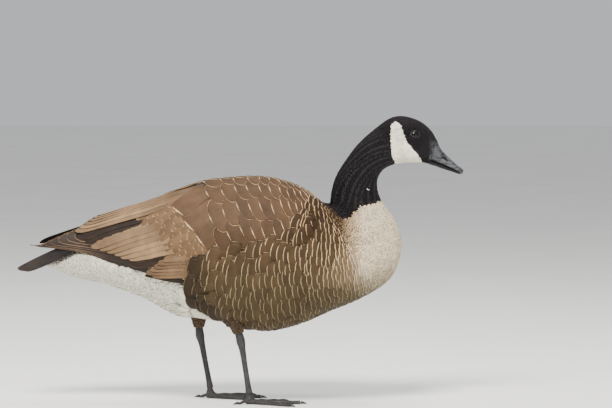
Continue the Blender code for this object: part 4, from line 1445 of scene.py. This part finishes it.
@dataclass
class WingCoat:
    """The feathers of one folded wing, with the bed under them and the free primaries."""

    side: Side
    shape: WingShape = field(default_factory=WingShape)
    bed_depth: float = 2.8
    bed_thick: float = 2.2
    # The scapulars' rows start at first, and end at last, both at the middle of the back
    first: float = 124.0
    last: float = -62.0
    rear_line: tuple = ((-106, 316), (-41, 236))
    growth: float = 0.128  # how much further apart the rows get, for each millimetre to the rear
    closest: float = 6.2
    front: float = 133.0  # no feather starts ahead of this place
    rear_shares: tuple = (0.94, 0.66, 0.38, 0.1)  # of the way down the rearmost row
    rear_size: tuple = (84.0, 50.0, 33.0)  # length, width and slope of a feather there
    # Place along, and the slant of a row, the width of its feathers and its share of the wing there
    slants: tuple = ((-80, 34), (-20, 16), (40, 10), (126, 8))
    widths: tuple = ((-80, 64), (-20, 62), (30, 56), (80, 40), (126, 26))
    reaches: tuple = ((-80, 0.86), (-50, 0.9), (40, 0.93), (90, 0.86), (126, 0.74))
    # Upper and lower end of each row of coverts' tips as seen from the side, length, width and drop
    covert_rows: tuple = (
        ((-168, 304), (-92, 202), 62, 18, 0.9), ((-157, 306), (-82, 207), 58, 17, 0.75),
        ((-146, 308), (-72, 214), 56, 17, 0.6), ((-135, 310), (-63, 221), 54, 17, 0.45),
        ((-124, 312), (-54, 228), 54, 17, 0.3), ((-113, 314), (-46, 235), 52, 17, 0.2),
    )
    covert_count: int = 12
    # Rows in the shaded tone are dark vanes that stand for the shadow between the strips.
    # Root and tip as seen from the side, width, tone and how deep it lies
    strip_rows: tuple = (
        ((-52, 199), (-150, 205), 14, "shaded", 2.0), ((-50, 207), (-140, 207), 11, "secondary", 1.3),
        ((-50, 213), (-150, 212), 11, "secondary", 1.2), ((-50, 219), (-142, 217.5), 11, "secondary", 1.1),
        ((-50, 225), (-136, 222.5), 11, "secondary", 1.0), ((-52, 231), (-129, 228), 11, "secondary", 0.9),
        ((-54, 238), (-119, 234), 12, "secondary", 0.8), ((-60, 240), (-172, 229), 20, "shaded", 2.0),
        ((-60, 248), (-168, 237), 18, "shaded", 1.9), ((-64, 256), (-178, 236), 17, "tertial", 1.2),
        ((-70, 265), (-190, 238), 17, "tertial", 1.1), ((-76, 274), (-200, 242), 17, "tertial", 1.0),
        ((-80, 283), (-211, 245), 17, "tertial", 0.9), ((-84, 292), (-223, 249), 18, "tertial", 0.8),
        ((-88, 300), (-236, 252), 19, "tertial", 0.7), ((-90, 307), (-246, 261), 22, "shaded", 1.6),
        ((-94, 314), (-262, 268), 22, "shaded", 1.5), ((-94, 322), (-256, 276), 22, "shaded", 1.4),
    )
    top_shares: tuple = (0.32, 0.26, 0.20, 0.14, 0.08, 0.02)  # where the uppermost strips lie
    top_width: float = 21.0
    ridge_end: float = -150.0  # where the column of feathers down the back ends
    ridge_width: float = 30.0
    # Tip's place along, share of the wing's width at root, middle and tip, and width of each primary
    primary_rows: tuple = (
        (-262, 0.62, 0.58, 0.42, 24), (-276, 0.67, 0.64, 0.47, 23), (-290, 0.72, 0.70, 0.52, 22),
        (-302, 0.77, 0.76, 0.57, 20), (-312, 0.82, 0.82, 0.62, 18), (-320, 0.87, 0.87, 0.72, 15),
        (-328, 0.92, 0.91, 0.84, 14), (-336, 0.97, 0.96, 0.96, 14),
    )
    bed_grid: tuple = (46, 30)  # rows of the bed from front to rear and points down each
    bed_rear: tuple = (-228, 92)  # where the bed ends at the back, and how far ahead of it lower down
    bed_colour: Colour = srgb(84, 65, 47)
    scapular: Tone = Tone(srgb(77, 56, 37), srgb(214, 182, 140), 0.9)
    rearmost: Tone = Tone(srgb(87, 65, 45), srgb(214, 184, 143), 1.3)
    covert: Tone = Tone(srgb(104, 80, 56), srgb(140, 113, 84), 1.5)
    # The dark edges of tertials and secondaries are painted shadow lines between the strips.
    tertial: Tone = Tone(srgb(130, 104, 77), srgb(36, 26, 19), 0.85)
    secondary: Tone = Tone(srgb(110, 86, 63), srgb(36, 26, 19), 0.8)
    # dark vanes laid where shadow falls between the strips: painted shadow, partly the dark inner webs of the
    # secondaries
    shaded: Tone = Tone(srgb(40, 31, 25), srgb(70, 56, 44), 0.8)
    primary: Tone = Tone(srgb(46, 36, 29), srgb(140, 112, 86), 0.9)
    quill: Tone = Tone(srgb(14, 12, 12), srgb(30, 25, 23), 0.8)

    def from_side(self, *spots: tuple[float, float]) -> tuple[tuple[float, float], ...]:
        """Turns places as seen from the side into places on the flat wing."""
        return tuple((x, self.shape.down_at(x, z)) for x, z in spots)

    def lower(self, x: float, share: float) -> tuple[float, float]:
        """A place on the flat wing at a share of the way from the back to the lower edge."""
        return x, float(self.shape.span(np.array(float(x)))) * share

    def scapulars(self, coat: VaneField) -> None:
        """Adds the rows of scapulars, small at the shoulder and large at the rear.

        Args:
            coat: The field that they go into.
        """
        draw = coat.draw
        look = {"depth": 2.4, "square": 3.0, "camber": 0.4, "tilt": 0.35, "risen": 1.0, "side_rim": 0.7}
        # the rearmost row is a straight line, from the upper to the lower of these places
        high, low = self.rear_line
        long, wide, slope = self.rear_size
        slope = math.radians(slope)
        for share in self.rear_shares:
            x, z = high[0] + (low[0] - high[0]) * share, high[1] + (low[1] - high[1]) * share
            tip = np.array((x, self.shape.down_at(x, z)))
            root = tip + (long * math.cos(slope), -long * math.sin(slope))
            coat.vanes.append(Vane((tuple(root), tuple((root + tip) / 2), tuple(tip)), wide, self.rearmost,
                                   blunt=0.07, lift=0.5, **look | {"side_rim": 0.1, "square": 4.0}))
        x = self.first
        while x > self.last:
            gap = self.closest + (self.first - x) * self.growth
            slant, wide = float(read_line(self.slants, x)), float(read_line(self.widths, x))
            span = float(self.shape.span(np.array(x)))
            reach = span * float(read_line(self.reaches, x))
            count = max(3, round(reach / (wide * 0.76)))
            for index in reversed(range(count)):
                down = (index + 0.5) / count + draw.normal(0, 0.018)
                tip = np.array((x + slant * down ** 1.5 + draw.normal(0, gap * 0.06), reach * down))
                slope = math.radians(9 + 25 * down + draw.normal(0, 2))
                long = gap * 2.0 + 14 + draw.normal(0, 1.2)
                root = tip + (long * math.cos(slope), -long * math.sin(slope))
                middle = (root + tip) / 2 + (0, 1.5 + 2 * down)
                if root[0] > self.front:
                    root = np.array((self.front, root[1]))
                    middle = (tip + root) / 2
                spine = (tuple(root), tuple(middle), tuple(tip))
                coat.vanes.append(Vane(spine, wide * draw.uniform(0.96, 1.06), self.scapular,
                                       lift=0.85 + draw.uniform(-0.1, 0.1), blunt=0.3, **look))
            x -= gap

    def coverts(self, coat: VaneField) -> None:
        """Adds the rows of wing coverts that show behind the scapulars.

        Args:
            coat: The field that they go into.
        """
        draw, count = coat.draw, self.covert_count
        for top, low, long, wide, drop in self.covert_rows:
            for index in range(count):
                share = index / (count - 1)
                x = top[0] + (low[0] - top[0]) * share + draw.normal(0, 2.6)
                z = top[1] + (low[1] - top[1]) * share
                tip = (x, self.shape.down_at(x, z))
                slope = math.radians(28 - 10 * share + draw.normal(0, 4))
                root = (x + long * math.cos(slope), tip[1] - long * math.sin(slope))
                bend = ((x + root[0]) / 2, (tip[1] + root[1]) / 2 + draw.normal(0, 1.5))
                size = wide * draw.uniform(0.8, 1.2)
                coat.vanes.append(Vane((root, bend, tip), size, self.covert, depth=2.4, lift=0.1, blunt=0.3,
                                       drop=drop, tilt=0.1, camber=0.25, side_rim=0.35))

    def strips(self, coat: VaneField) -> None:
        """Adds the tertials and the secondaries with their coverts, which lie as long strips.

        Args:
            coat: The field that they go into.
        """
        draw = coat.draw
        for (root_x, root_z), (tip_x, tip_z), wide, tone, drop in self.strip_rows:
            bend = ((root_x + tip_x) / 2, (root_z + tip_z) / 2 + 3.5)
            spine = self.from_side((root_x, root_z), bend, (tip_x + draw.normal(0, 1), tip_z))
            # wide dark side edges paint the shadow lines between the strips
            coat.vanes.append(Vane(spine, wide * 1.12, getattr(self, tone), lift=0.1, blunt=0.14, drop=drop,
                                   camber=0.3, tilt=0.95, risen=0.3, side_rim=1.3))
        for number, share in enumerate(self.top_shares):
            spine = (self.lower(-70, share * 0.9), self.lower(-180, share),
                     self.lower(-264 + 7 * number, share * 1.36))
            coat.vanes.append(Vane(spine, self.top_width, self.tertial, blunt=0.14, drop=0.4, tilt=1.3,
                                   risen=0.3, side_rim=1.6))

    def ridge(self, coat: VaneField) -> None:
        """Adds the column of feathers down the middle of the back.

        Args:
            coat: The field that they go into.
        """
        x = self.first - 4
        while x > self.ridge_end:
            gap = 7 + (self.first - x) * 0.09
            spine = ((min(self.front, x + gap * 2 + 14), 0), (x, coat.draw.normal(0, 1.5)))
            coat.vanes.append(Vane(spine, self.ridge_width, self.scapular, depth=1.6, lift=1.0, blunt=0.36,
                                   square=2.4))
            x -= gap

    def bed(self) -> bpy.types.Object:
        """Builds the closed bed that the feathers lie on.

        Returns:
            The bed.
        """
        rows = []
        shares = np.linspace(0, 1, self.bed_grid[1])
        ends = self.bed_rear[0] + self.bed_rear[1] * shares ** 1.4
        for deep, sign in ((self.bed_depth, 1), (self.bed_depth + self.bed_thick, -1)):
            for along in np.linspace(0, 1, self.bed_grid[0])[::sign]:
                x = 132 + (ends - 132) * along
                sheet = self.shape.at_share(x, shares, np.full(len(shares), -deep))
                rows.append(sheet * (1, self.side.value, 1))
        points = np.array(rows)
        ring = np.concatenate([points, points[:1]])
        mesh = grid_mesh("wing_bed_" + self.side.word, ring, closed=False, capped=False)
        work = bmesh.new()
        work.from_mesh(mesh)
        bmesh.ops.remove_doubles(work, verts=work.verts, dist=1e-6)
        bmesh.ops.holes_fill(work, edges=[edge for edge in work.edges if edge.is_boundary])
        bmesh.ops.triangulate(work, faces=[face for face in work.faces if len(face.verts) > 4])
        bmesh.ops.recalc_face_normals(work, faces=work.faces)
        work.to_mesh(mesh)
        work.free()
        store(mesh, "middle", np.tile(self.bed_colour, (len(mesh.vertices), 1)), "FLOAT_COLOR")
        return add_piece(mesh.name, mesh, DownFinish("wing_down").material())

    def primaries(self) -> bpy.types.Object:
        """Builds the long free primaries, which show as bands along the wing's lower edge.

        Returns:
            The primaries.
        """
        quills = VaneField(31)
        for index, (tip_x, root, bend, tip, wide) in enumerate(self.primary_rows):
            spine = (self.lower(-128, root), self.lower(-235, bend), self.lower(tip_x, tip))
            quills.vanes.append(Vane(spine, wide, self.primary, depth=0, lift=0, thick=0.4, blunt=0.12,
                                     drop=2.8 + 0.62 * index, camber=0.3, tilt=0.5))
        if self.side is Side.LEFT:
            spine = (self.lower(-222, 0.34), self.lower(-280, 0.50), self.lower(-323, 0.63))
            quills.vanes.append(Vane(spine, 11, self.quill, depth=1, lift=0.6, thick=0.4, blunt=0.2,
                                     camber=0.3))
        piece = quills.build("primary_feathers_" + self.side.word, self.shape.place(self.side),
                             FeatherFinish("flight_feathers", barbs=70, specular=0.25, root_shade=0.2),
                             (-340, -120, 0, 220))
        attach(piece, "root")
        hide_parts("primaries_" + self.side.word)
        return piece

    def build(self) -> None:
        """Builds the wing's bed, coat and primaries."""
        coat = VaneField(21 + self.side.value)
        self.strips(coat)
        self.coverts(coat)
        self.scapulars(coat)
        if self.side is Side.RIGHT:
            self.ridge(coat)
        piece = coat.build("wing_coat_" + self.side.word, self.shape.place(self.side),
                           FeatherFinish("wing_feathers", barbs=34, shaft=0.16, side_start=0.62),
                           (-280, 150, -10, 230))
        bed = self.bed()
        for made in (piece, bed):
            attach(made, "root")
        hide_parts("wing_" + self.side.word)
        for made in (bed, piece, self.primaries()):
            report(made)


@dataclass
class Tail:
    """The closed tail with the coverts over its root."""

    shape: TailShape = field(default_factory=TailShape)
    pairs: int = 8
    width: float = 23.0
    rounding: float = 15.0
    quill: Tone = Tone(srgb(34, 29, 29), srgb(72, 62, 56), 1.0)
    covert: Tone = Tone(srgb(216, 212, 196), srgb(240, 237, 226), 1.2)
    covert_rows: tuple = ((-272, 4), (-262, 5), (-252, 4), (-242, 5), (-232, 4))  # tips' place and count
    covert_gap: float = 9.5

    def build(self) -> None:
        """Builds the tail feathers and the white coverts over them."""
        quills = VaneField(41)
        for pair in reversed(range(self.pairs)):
            for sign in (1, -1):
                level = pair + (1 if pair or sign < 0 else 0)
                outer = pair / (self.pairs - 1)
                share = sign * (0.06 + 0.86 * outer)
                tip = (-357 + self.rounding * outer ** 2, share * 27)
                quills.vanes.append(Vane(((-236, share * 18), tip), self.width, self.quill, depth=0, lift=0,
                                         drop=1.12 * level, blunt=0.13, thick=0.5, camber=0.3))
        piece = quills.build("tail_feathers", self.shape.place,
                             FeatherFinish("flight_feathers", barbs=70, specular=0.25, root_shade=0.2),
                             (-360, -220, -30, 30))
        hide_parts("tail")
        coverts = VaneField(43)
        for x, count in self.covert_rows:
            for index in range(count):
                across = (index - (count - 1) / 2) * self.covert_gap
                coverts.vanes.append(Vane(((x + 28, across * 0.9), (x, across)), 14, self.covert, depth=1.0,
                                          lift=0.9, drop=-0.4))
        cover = coverts.build("tail_coverts", self.shape.place, FeatherFinish("covert_feathers", barbs=34),
                              (-300, -200, -30, 30))
        for made in (piece, cover):
            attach(made, "root")
            report(made)


@dataclass
class Bill:
    """Both halves of the bill, with the nail and the nostrils."""

    # culmen x and z, cutting edge x and z, half width, widest share and roundness
    upper_slices: tuple = (
        (311, 423, 303.5, 386.2, 12.2, 0.66, 0.82),
        (314.3, 419.5, 306.2, 385.4, 12.8, 0.66, 0.82), (319.5, 407, 313, 383.2, 12.6, 0.66, 0.80),
        (328, 397, 321, 380.4, 12.0, 0.66, 0.80), (337, 388, 331, 376.4, 11.2, 0.66, 0.80),
        (346, 380, 341, 372.0, 9.8, 0.62, 0.84), (352.4, 374.6, 349, 368.0, 7.6, 0.58, 0.90),
        (355.6, 371.8, 352.6, 365.0, 5.8, 0.52, 0.95), (356.8, 369.2, 354.4, 364.2, 3.6, 0.50, 1.00),
    )
    lower_slices: tuple = (
        (302, 386.6, 301.6, 380.2, 11.6, 0.36, 0.80),
        (305.4, 386, 304.6, 379.4, 12, 0.36, 0.80), (313, 383.8, 311.8, 377.2, 11.8, 0.36, 0.80),
        (321.5, 380.8, 320.2, 374.2, 11.2, 0.36, 0.82), (331, 376.8, 329.8, 371, 10.2, 0.38, 0.84),
        (341, 373.0, 340, 367.8, 8.6, 0.42, 0.90), (348.5, 370.0, 347.8, 365.2, 5.8, 0.46, 1.00),
        (352, 367.8, 351.6, 364.4, 3.6, 0.50, 1.00),
    )
    nostril: tuple[float, float] = (327.0, 389.6)
    nostril_half: tuple[float, float] = (6.6, 1.7)
    nostril_tilt: float = 40.0
    nostril_depth: float = 2.4
    nail: tuple[float, float] = (353.0, 371.5)
    lobe_reach: tuple[float, float] = (22.0, 22.9)  # slices of the head that the lobes lie on
    lobe_low: float = -1.2
    lobe_high: float = 0.1
    lobe_sides: tuple = (22, 36, 104, 122)  # degrees between which the lobes rise, and then fall
    wedge: tuple = (404, 408)  # heights between which the dark point of feathers on the culmen starts
    upper_grid: tuple = (110, 96)  # rows of a half of the bill, and points round it
    lower_grid: tuple = (60, 64)

    def surface(self, slices: tuple, rows: int, around: int) -> np.ndarray:
        """Finds points of one half of the bill.

        Args:
            slices: The half's slices.
            rows: How many rows to make.
            around: How many points a row has.

        Returns:
            Rows of points, in millimetres.
        """
        shape = BodyShape(slices=slices, steps=12)
        along, degrees = np.meshgrid(np.linspace(0, shape.last, rows),
                                     np.linspace(0, 360, around, endpoint=False), indexing="ij")
        return shape.point(along, degrees)

    def lobes(self, around: int) -> np.ndarray:
        """Finds points of the bill's lobes, which reach back over the face at both sides.

        Args:
            around: How many points a row has.

        Returns:
            Rows of points, in millimetres.
        """
        shape = BodyShape()
        along, degrees = np.meshgrid(np.linspace(*self.lobe_reach, 9),
                                     np.linspace(0, 360, around, endpoint=False), indexing="ij")
        turned = np.minimum(degrees, 360 - degrees)
        beside = smooth(turned, *self.lobe_sides[:2]) * (1 - smooth(turned, *self.lobe_sides[2:]))
        return shape.point(along, degrees) + shape.normal(along, degrees) * (
            self.lobe_low + (self.lobe_high - self.lobe_low) * beside)[..., None]

    def build(self) -> None:
        """Builds the two halves of the bill."""
        finish = HornFinish("bill_horn").material()
        points = np.concatenate([self.lobes(self.upper_grid[1]),
                                 self.surface(self.upper_slices, *self.upper_grid)])
        x, y, z = points[..., 0], points[..., 1], points[..., 2]
        tilt = math.radians(self.nostril_tilt)
        dx, dz = x - self.nostril[0], z - self.nostril[1]
        along = dx * math.cos(tilt) - dz * math.sin(tilt)
        up = dx * math.sin(tilt) + dz * math.cos(tilt)
        away = np.sqrt((along / self.nostril_half[0]) ** 2 + (up / self.nostril_half[1]) ** 2)
        hole = 1 - smooth(away, 0.75, 1.15)
        swell = np.exp(-((away - 1.5) / 0.5) ** 2) * 0.35
        points[..., 1] -= np.sign(y) * (hole * self.nostril_depth - swell) * (np.abs(y) > 4)
        near = np.sqrt((x - self.nail[0]) ** 2 + (z - self.nail[1]) ** 2 + (y * 0.9) ** 2)
        points[..., 2] += 0.7 * (1 - smooth(near, 4.0, 6.0))
        mesh = grid_mesh("bill_upper_horn", points, closed=True, capped=True)
        # Shade: painted shade in the nostril's hollow, the dark point of feathers on the culmen, and darker
        # towards the bill's root.
        wedge = smooth(points[..., 2] - 1.2 * np.abs(y), *self.wedge)
        back = 0.6 * (1 - smooth(x, 303, 322))
        store(mesh, "shade", np.maximum(np.maximum(hole, wedge), back).reshape(-1), "FLOAT")
        upper = add_piece("bill_upper_horn", mesh, finish)
        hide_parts("bill_upper")
        points = self.surface(self.lower_slices, *self.lower_grid)
        mesh = grid_mesh("bill_lower_horn", points, closed=True, capped=True)
        store(mesh, "shade", np.full(len(mesh.vertices), 0.95), "FLOAT")
        under = HornFinish("bill_horn_under", dark=srgb(11, 11, 12), light=srgb(24, 25, 27), roughness=0.5,
                           specular=0.15)
        lower = add_piece("bill_lower_horn", mesh, under.material())
        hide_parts("bill_lower")
        for piece in (upper, lower):
            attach(piece, "root")
            report(piece)


@dataclass
class Eyes:
    """The eyeballs and the lids round them."""

    shape: BodyShape = field(default_factory=BodyShape)
    place: tuple[float, float] = (279.0, 429.0)
    radius: float = 8.6
    proud: float = 3.1
    lid_radius: float = 7.0
    lid_thick: float = 0.95
    squash: float = 0.8
    slant: float = 18.0
    ball_grid: tuple = (48, 32)
    lid_grid: tuple = (64, 16)

    def frame(self, side: Side) -> Matrix:
        """Finds an eye's place on the face.

        Args:
            side: The eye's side.

        Returns:
            The place, with Z pointing out of the face.
        """
        along, degrees = np.meshgrid(np.linspace(17, 23, 240), np.linspace(15, 165, 300), indexing="ij")
        points = self.shape.point(along, degrees)
        best = np.argmin((points[..., 0] - self.place[0]) ** 2 + (points[..., 2] - self.place[1]) ** 2)
        at = np.unravel_index(best, along.shape)
        point, normal = points[at], self.shape.normal(along[at], degrees[at])
        point, normal = point * (1, side.value, 1), normal * (1, side.value, 1)
        turn = Vector(normal).to_track_quat("Z", "Y").to_matrix().to_4x4()
        return Matrix.Translation(Vector(point * MM)) @ turn

    def build(self) -> None:
        """Builds both eyes with their lids."""
        for side in Side:
            frame = self.frame(side)
            work = bmesh.new()
            bmesh.ops.create_uvsphere(work, u_segments=self.ball_grid[0], v_segments=self.ball_grid[1],
                                      radius=self.radius * MM)
            mesh = bpy.data.meshes.new("eyeball_" + side.word)
            work.to_mesh(mesh)
            work.free()
            away = np.array([math.acos(max(-1, min(1, v.co.z / (self.radius * MM)))) for v in mesh.vertices])
            store(mesh, "shade", away, "FLOAT")
            mesh.transform(frame @ Matrix.Translation((0, 0, (self.proud - self.radius) * MM)))
            mesh.shade_smooth()
            ball = add_piece(mesh.name, mesh, EyeFinish("goose_eye_" + side.word).material())
            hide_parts("eye_" + side.word)
            bpy.ops.mesh.primitive_torus_add(
                major_radius=self.lid_radius * MM, minor_radius=self.lid_thick * MM,
                major_segments=self.lid_grid[0], minor_segments=self.lid_grid[1])
            lid = bpy.context.object
            lid.name = "eyelid_" + side.word
            turned = frame @ Matrix.Rotation(math.radians(self.slant * side.value), 4, "Z")
            lid.data.transform(turned @ Matrix.Diagonal((1, self.squash, 1.1, 1)))
            if side is Side.RIGHT:
                faces_out(lid.data)
            lid.data.shade_smooth()
            lid.data.materials.clear()
            lid.data.materials.append(ScaleFinish("lid_skin_" + side.word, dark=srgb(12, 11, 12),
                                                  light=srgb(32, 30, 31), cells=1500).material())
            for piece in (ball, lid):
                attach(piece, "root")
                report(piece)


@dataclass
class Legs:
    """Thighs, legs, feet and claws."""

    nodes: dict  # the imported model's objects, by their nodes' names
    hip: float = 44.0
    narrow: float = 0.85
    thigh_grid: tuple = (26, 26)  # rows of a thigh's feathers and feathers in each
    overlap: int = 4  # how many rows a feather reaches down
    shank_grid: tuple = (150, 40)
    scutes: int = 26
    scute_height: float = 0.34
    # Middle lines from the belly down: x, z, outwards and half thickness
    lines: dict = field(default_factory=lambda: {
        Side.RIGHT: ([(-22, 172, -4, 26), (-12, 148, -2, 18), (-6, 130, 0, 12), (-2, 113, 0, 7.6)],
                     [(-2, 114, 0, 6), (0, 106, 0, 6.6), (1.5, 99, 0, 6.8), (4, 86, 0, 5), (8, 60, 0, 4.3),
                      (12, 34, 0, 4.4), (14.5, 17, 0, 5.4)]),
        Side.LEFT: ([(-72, 176, -4, 26), (-69, 150, -2, 18), (-68, 131, 0, 12), (-68, 115, 0, 7.6)],
                    [(-68, 116, 0, 6), (-67, 107, 0, 6.6), (-66, 100, 0, 6.8), (-63, 87, 0, 5),
                     (-58, 60, 0, 4.3), (-53, 34, 0, 4.4), (-50, 17, 0, 5.4)]),
    })

    def tube(self, line: Sequence[tuple], side: Side, rows: int, around: int,
             shrink: float = 0.0) -> np.ndarray:
        """Points of a limb along its middle line.

        Args:
            line: Its middle line.
            side: Its side of the bird.
            rows: How many rings to make.
            around: How many points a ring has.
            shrink: How much thinner it is.

        Returns:
            Rings of points, in millimetres.
        """
        table = curve_rows(line, 12)
        places = np.linspace(0, len(table) - 1, rows)
        x, z, out, half = (np.interp(places, np.arange(len(table)), table[:, i]) for i in range(4))
        half = half - shrink
        fall = unit(np.stack([np.gradient(x), np.gradient(z)], axis=1))
        angle = np.linspace(0, math.tau, around, endpoint=False)
        front = np.cos(angle)[None, :] * half[:, None]
        wide = np.sin(angle)[None, :] * half[:, None] * self.narrow
        return np.stack([x[:, None] - fall[:, 1:] * front, side.value * (self.hip + out[:, None]) + wide,
                         z[:, None] + fall[:, :1] * front], axis=-1)

    def thigh(self, side: Side, tree: CoatTree, plume: bpy.types.Object) -> list[bpy.types.Object]:
        """Builds a thigh's skin and its feathers.

        Args:
            side: Its side of the bird.
            tree: The tree that sets feathers on points.
            plume: The feather that is repeated.

        Returns:
            The skin and the coat.
        """
        points = self.tube(self.lines[side][0], side, 24, 32, shrink=2.0)
        skin = grid_mesh("thigh_skin_" + side.word, points, closed=True, capped=True)
        store(skin, "middle", np.tile(Plumage.thigh.middle, (len(skin.vertices), 1)), "FLOAT_COLOR")
        core = add_piece(skin.name, skin, DownFinish("thigh_down_" + side.word).material())
        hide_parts("thigh_" + side.word)
        draw = np.random.default_rng(61 + side.value)
        rows, around = self.thigh_grid
        reach = self.overlap
        base = self.tube(self.lines[side][0], side, rows, around, shrink=1.6)
        over = self.tube(self.lines[side][0], side, rows, around, shrink=-0.6)
        centre = base.mean(axis=1, keepdims=True)
        root = base[:-reach].reshape(-1, 3)
        tip = over[reach:].reshape(-1, 3)
        up = unit(base - centre)[:-reach].reshape(-1, 3)
        count = len(root)
        length = np.linalg.norm(tip - root, axis=1)
        round_share = np.tile(np.arange(around) / around, rows - reach)
        down_share = np.repeat(np.arange(rows - reach) / (rows - reach), around)
        lie = unit(tip - root + draw.normal(0, 0.05, (count, 3)) * length[:, None])
        spot = np.stack([0.01 + 0.97 * down_share, 0.01 + 0.97 * round_share, 0 * down_share], axis=1)
        width = 9 - 4.5 * down_share
        size = np.stack([width, length, length], axis=1) * MM
        shares = np.stack([1.0 / length, 1.6 / width, draw.random(count)], axis=1)
        pale = smooth(draw.random(count), 0.2, 1.0)[:, None] * 0.35
        middle = np.tile(Plumage.thigh.middle, (count, 1)) * (1 + pale)
        edge = np.tile(Plumage.thigh.edge, (count, 1))
        coat = feather_points("thigh_coat_" + side.word, root, middle, edge, lie=lie, up=up, size=size,
                              place=spot, rim=shares)
        tree.apply(coat, Feather=plume, Finish=FeatherFinish("fine_feathers", barbs=5.0).material(),
                   Patch_Width=PATCH, Size_Spread=0.08, Seed=7)
        return [core, coat]

    def shank(self, side: Side) -> bpy.types.Object:
        """Builds one leg, with its scutes as shallow steps down its front.

        Args:
            side: Its side of the bird.

        Returns:
            The leg.
        """
        points = self.tube(self.lines[side][1], side, *self.shank_grid)
        rows, around = points.shape[:2]
        angle = np.linspace(0, math.tau, around, endpoint=False)
        front = smooth(np.cos(angle), 0.1, 0.8)[None, :]
        down = np.arange(rows)[:, None] / rows
        step = (down * self.scutes + 0.25 * np.sin(angle)[None, :]) % 1.0
        centre = points.mean(axis=1, keepdims=True)
        bulge = self.scute_height * front * (1 - smooth(step, 0.75, 1.0)) * smooth(step, 0.0, 0.12)
        points = points + unit(points - centre) * bulge[..., None]
        mesh = grid_mesh("shank_" + side.word, points, closed=True, capped=True)
        piece = add_piece(mesh.name, mesh, ScaleFinish("leg_scales", cells=520).material())
        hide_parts("leg_" + side.word)
        return piece

    def foot(self, side: Side) -> list[bpy.types.Object]:
        """Builds one foot and its claws as smooth copies of their solids.

        Args:
            side: Its side of the bird.

        Returns:
            The foot and its claws.
        """
        made = []
        scales = ScaleFinish("foot_scales", cells=460).material()
        horn = HornFinish("claw_horn", dark=srgb(10, 9, 10), light=srgb(34, 31, 30), roughness=0.4).material()
        names = {"foot_" + side.word: (0.9, scales, "leg_skin")}
        for toe in ("inner", "middle", "outer", "hind"):
            names[f"claw_{side.word}_{toe}"] = (0.35, horn, "claw_horn")
        for node, (voxel, finish, slot) in names.items():
            mesh = self.nodes[node].data.copy()
            mesh.name = node + "_skin"
            faces_out(mesh, merge=1e-6)
            piece = add_piece(mesh.name, mesh, finish)
            melt = piece.modifiers.new("melt", "REMESH")
            melt.mode, melt.voxel_size, melt.use_smooth_shade = "VOXEL", voxel * MM, True
            even = piece.modifiers.new("even", "SMOOTH")
            even.factor, even.iterations = 0.5, 4
            smoothed = applied(piece)
            if not smoothed.materials:
                smoothed.materials.append(finish)
            if slot == "claw_horn":
                store(smoothed, "shade", np.zeros(len(smoothed.vertices)), "FLOAT")
            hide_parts(node)
            made.append(piece)
        return made

    def build(self, tree: CoatTree) -> None:
        """Builds both legs.

        Args:
            tree: The tree that sets feathers on points.
        """
        plume = Plume("thigh_plume").build()
        for side in Side:
            shank = self.shank(side)
            for piece in (*self.thigh(side, tree, plume), shank, *self.foot(side)):
                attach(piece, "root")
                report(piece)
        bpy.data.objects.remove(plume, do_unlink=True)


@dataclass
class Studio:
    """Floor, lights and camera."""

    focus: tuple[float, float, float] = (0.1051, 0.0, 0.3168)
    width: float = 0.979
    lens: float = 200.0
    elevation: float = 3.0
    # Name, place, size, watts and colour of each light
    lights: tuple = (
        ("key", (-0.6, -2.0, 2.8), 1.2, 232, (1.0, 0.98, 0.94)),
        ("fill", (1.8, -2.4, 0.9), 2.0, 24, (1.0, 1.0, 1.0)),
        ("top", (0.2, 0.5, 2.8), 1.6, 55, (1.0, 1.0, 1.0)),
    )
    aim: tuple[float, float, float] = (0.0, 0.0, 0.25)
    sky: Colour = (0.84, 0.86, 0.88)
    sky_strength: float = 0.68

    def floor(self) -> None:
        """Lays the pale floor."""
        bpy.ops.mesh.primitive_plane_add(size=30)
        floor = bpy.context.object
        floor.name = "studio_floor"
        floor.data.materials.append(FloorFinish().material())

    def light(self, name: str, place: tuple[float, float, float], size: float, power: float,
              colour: Colour) -> None:
        """Hangs one soft light, which points at the bird.

        Args:
            name: The light's name.
            place: Its place, in metres.
            size: Its width.
            power: Its power, in watts.
            colour: Its colour.
        """
        data = bpy.data.lights.new(name, "AREA")
        data.shape, data.size, data.energy, data.color = "DISK", size, power, colour
        lamp = bpy.data.objects.new(name, data)
        lamp.location = place
        lamp.rotation_mode = "QUATERNION"
        lamp.rotation_quaternion = (Vector(self.aim) - Vector(place)).to_track_quat("-Z", "Y")
        bpy.context.scene.collection.objects.link(lamp)

    def build(self) -> None:
        """Builds the studio and sets the camera at the photograph's angle."""
        self.floor()
        for light in self.lights:
            self.light(*light)
        world = bpy.data.worlds.new("studio")
        world.use_nodes = True
        background = world.node_tree.nodes["Background"]
        background.inputs["Color"].default_value = (*self.sky, 1)
        background.inputs["Strength"].default_value = self.sky_strength
        bpy.context.scene.world = world
        data = bpy.data.cameras.new("camera")
        data.lens, data.sensor_width = self.lens, 36.0
        distance = self.width / data.sensor_width * self.lens
        tilt = math.radians(self.elevation)
        camera = bpy.data.objects.new("camera", data)
        camera.location = Vector(self.focus) + Vector((0, -math.cos(tilt), math.sin(tilt))) * distance
        camera.rotation_euler = (math.radians(90) - tilt, 0, 0)
        data.clip_end = 100
        bpy.context.scene.collection.objects.link(camera)
        bpy.context.scene.camera = camera


def main() -> None:
    """Builds every piece of the goose, then the studio."""
    logging.basicConfig(level=logging.INFO, format="%(name)s %(message)s")
    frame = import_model()
    tree = CoatTree()
    BodyCoat().build(tree)
    for side in Side:
        WingCoat(side).build()
    Tail().build()
    Bill().build()
    Eyes().build()
    Legs(frame["nodes"]).build(tree)
    Studio().build()


if __name__ == "__main__":
    main()
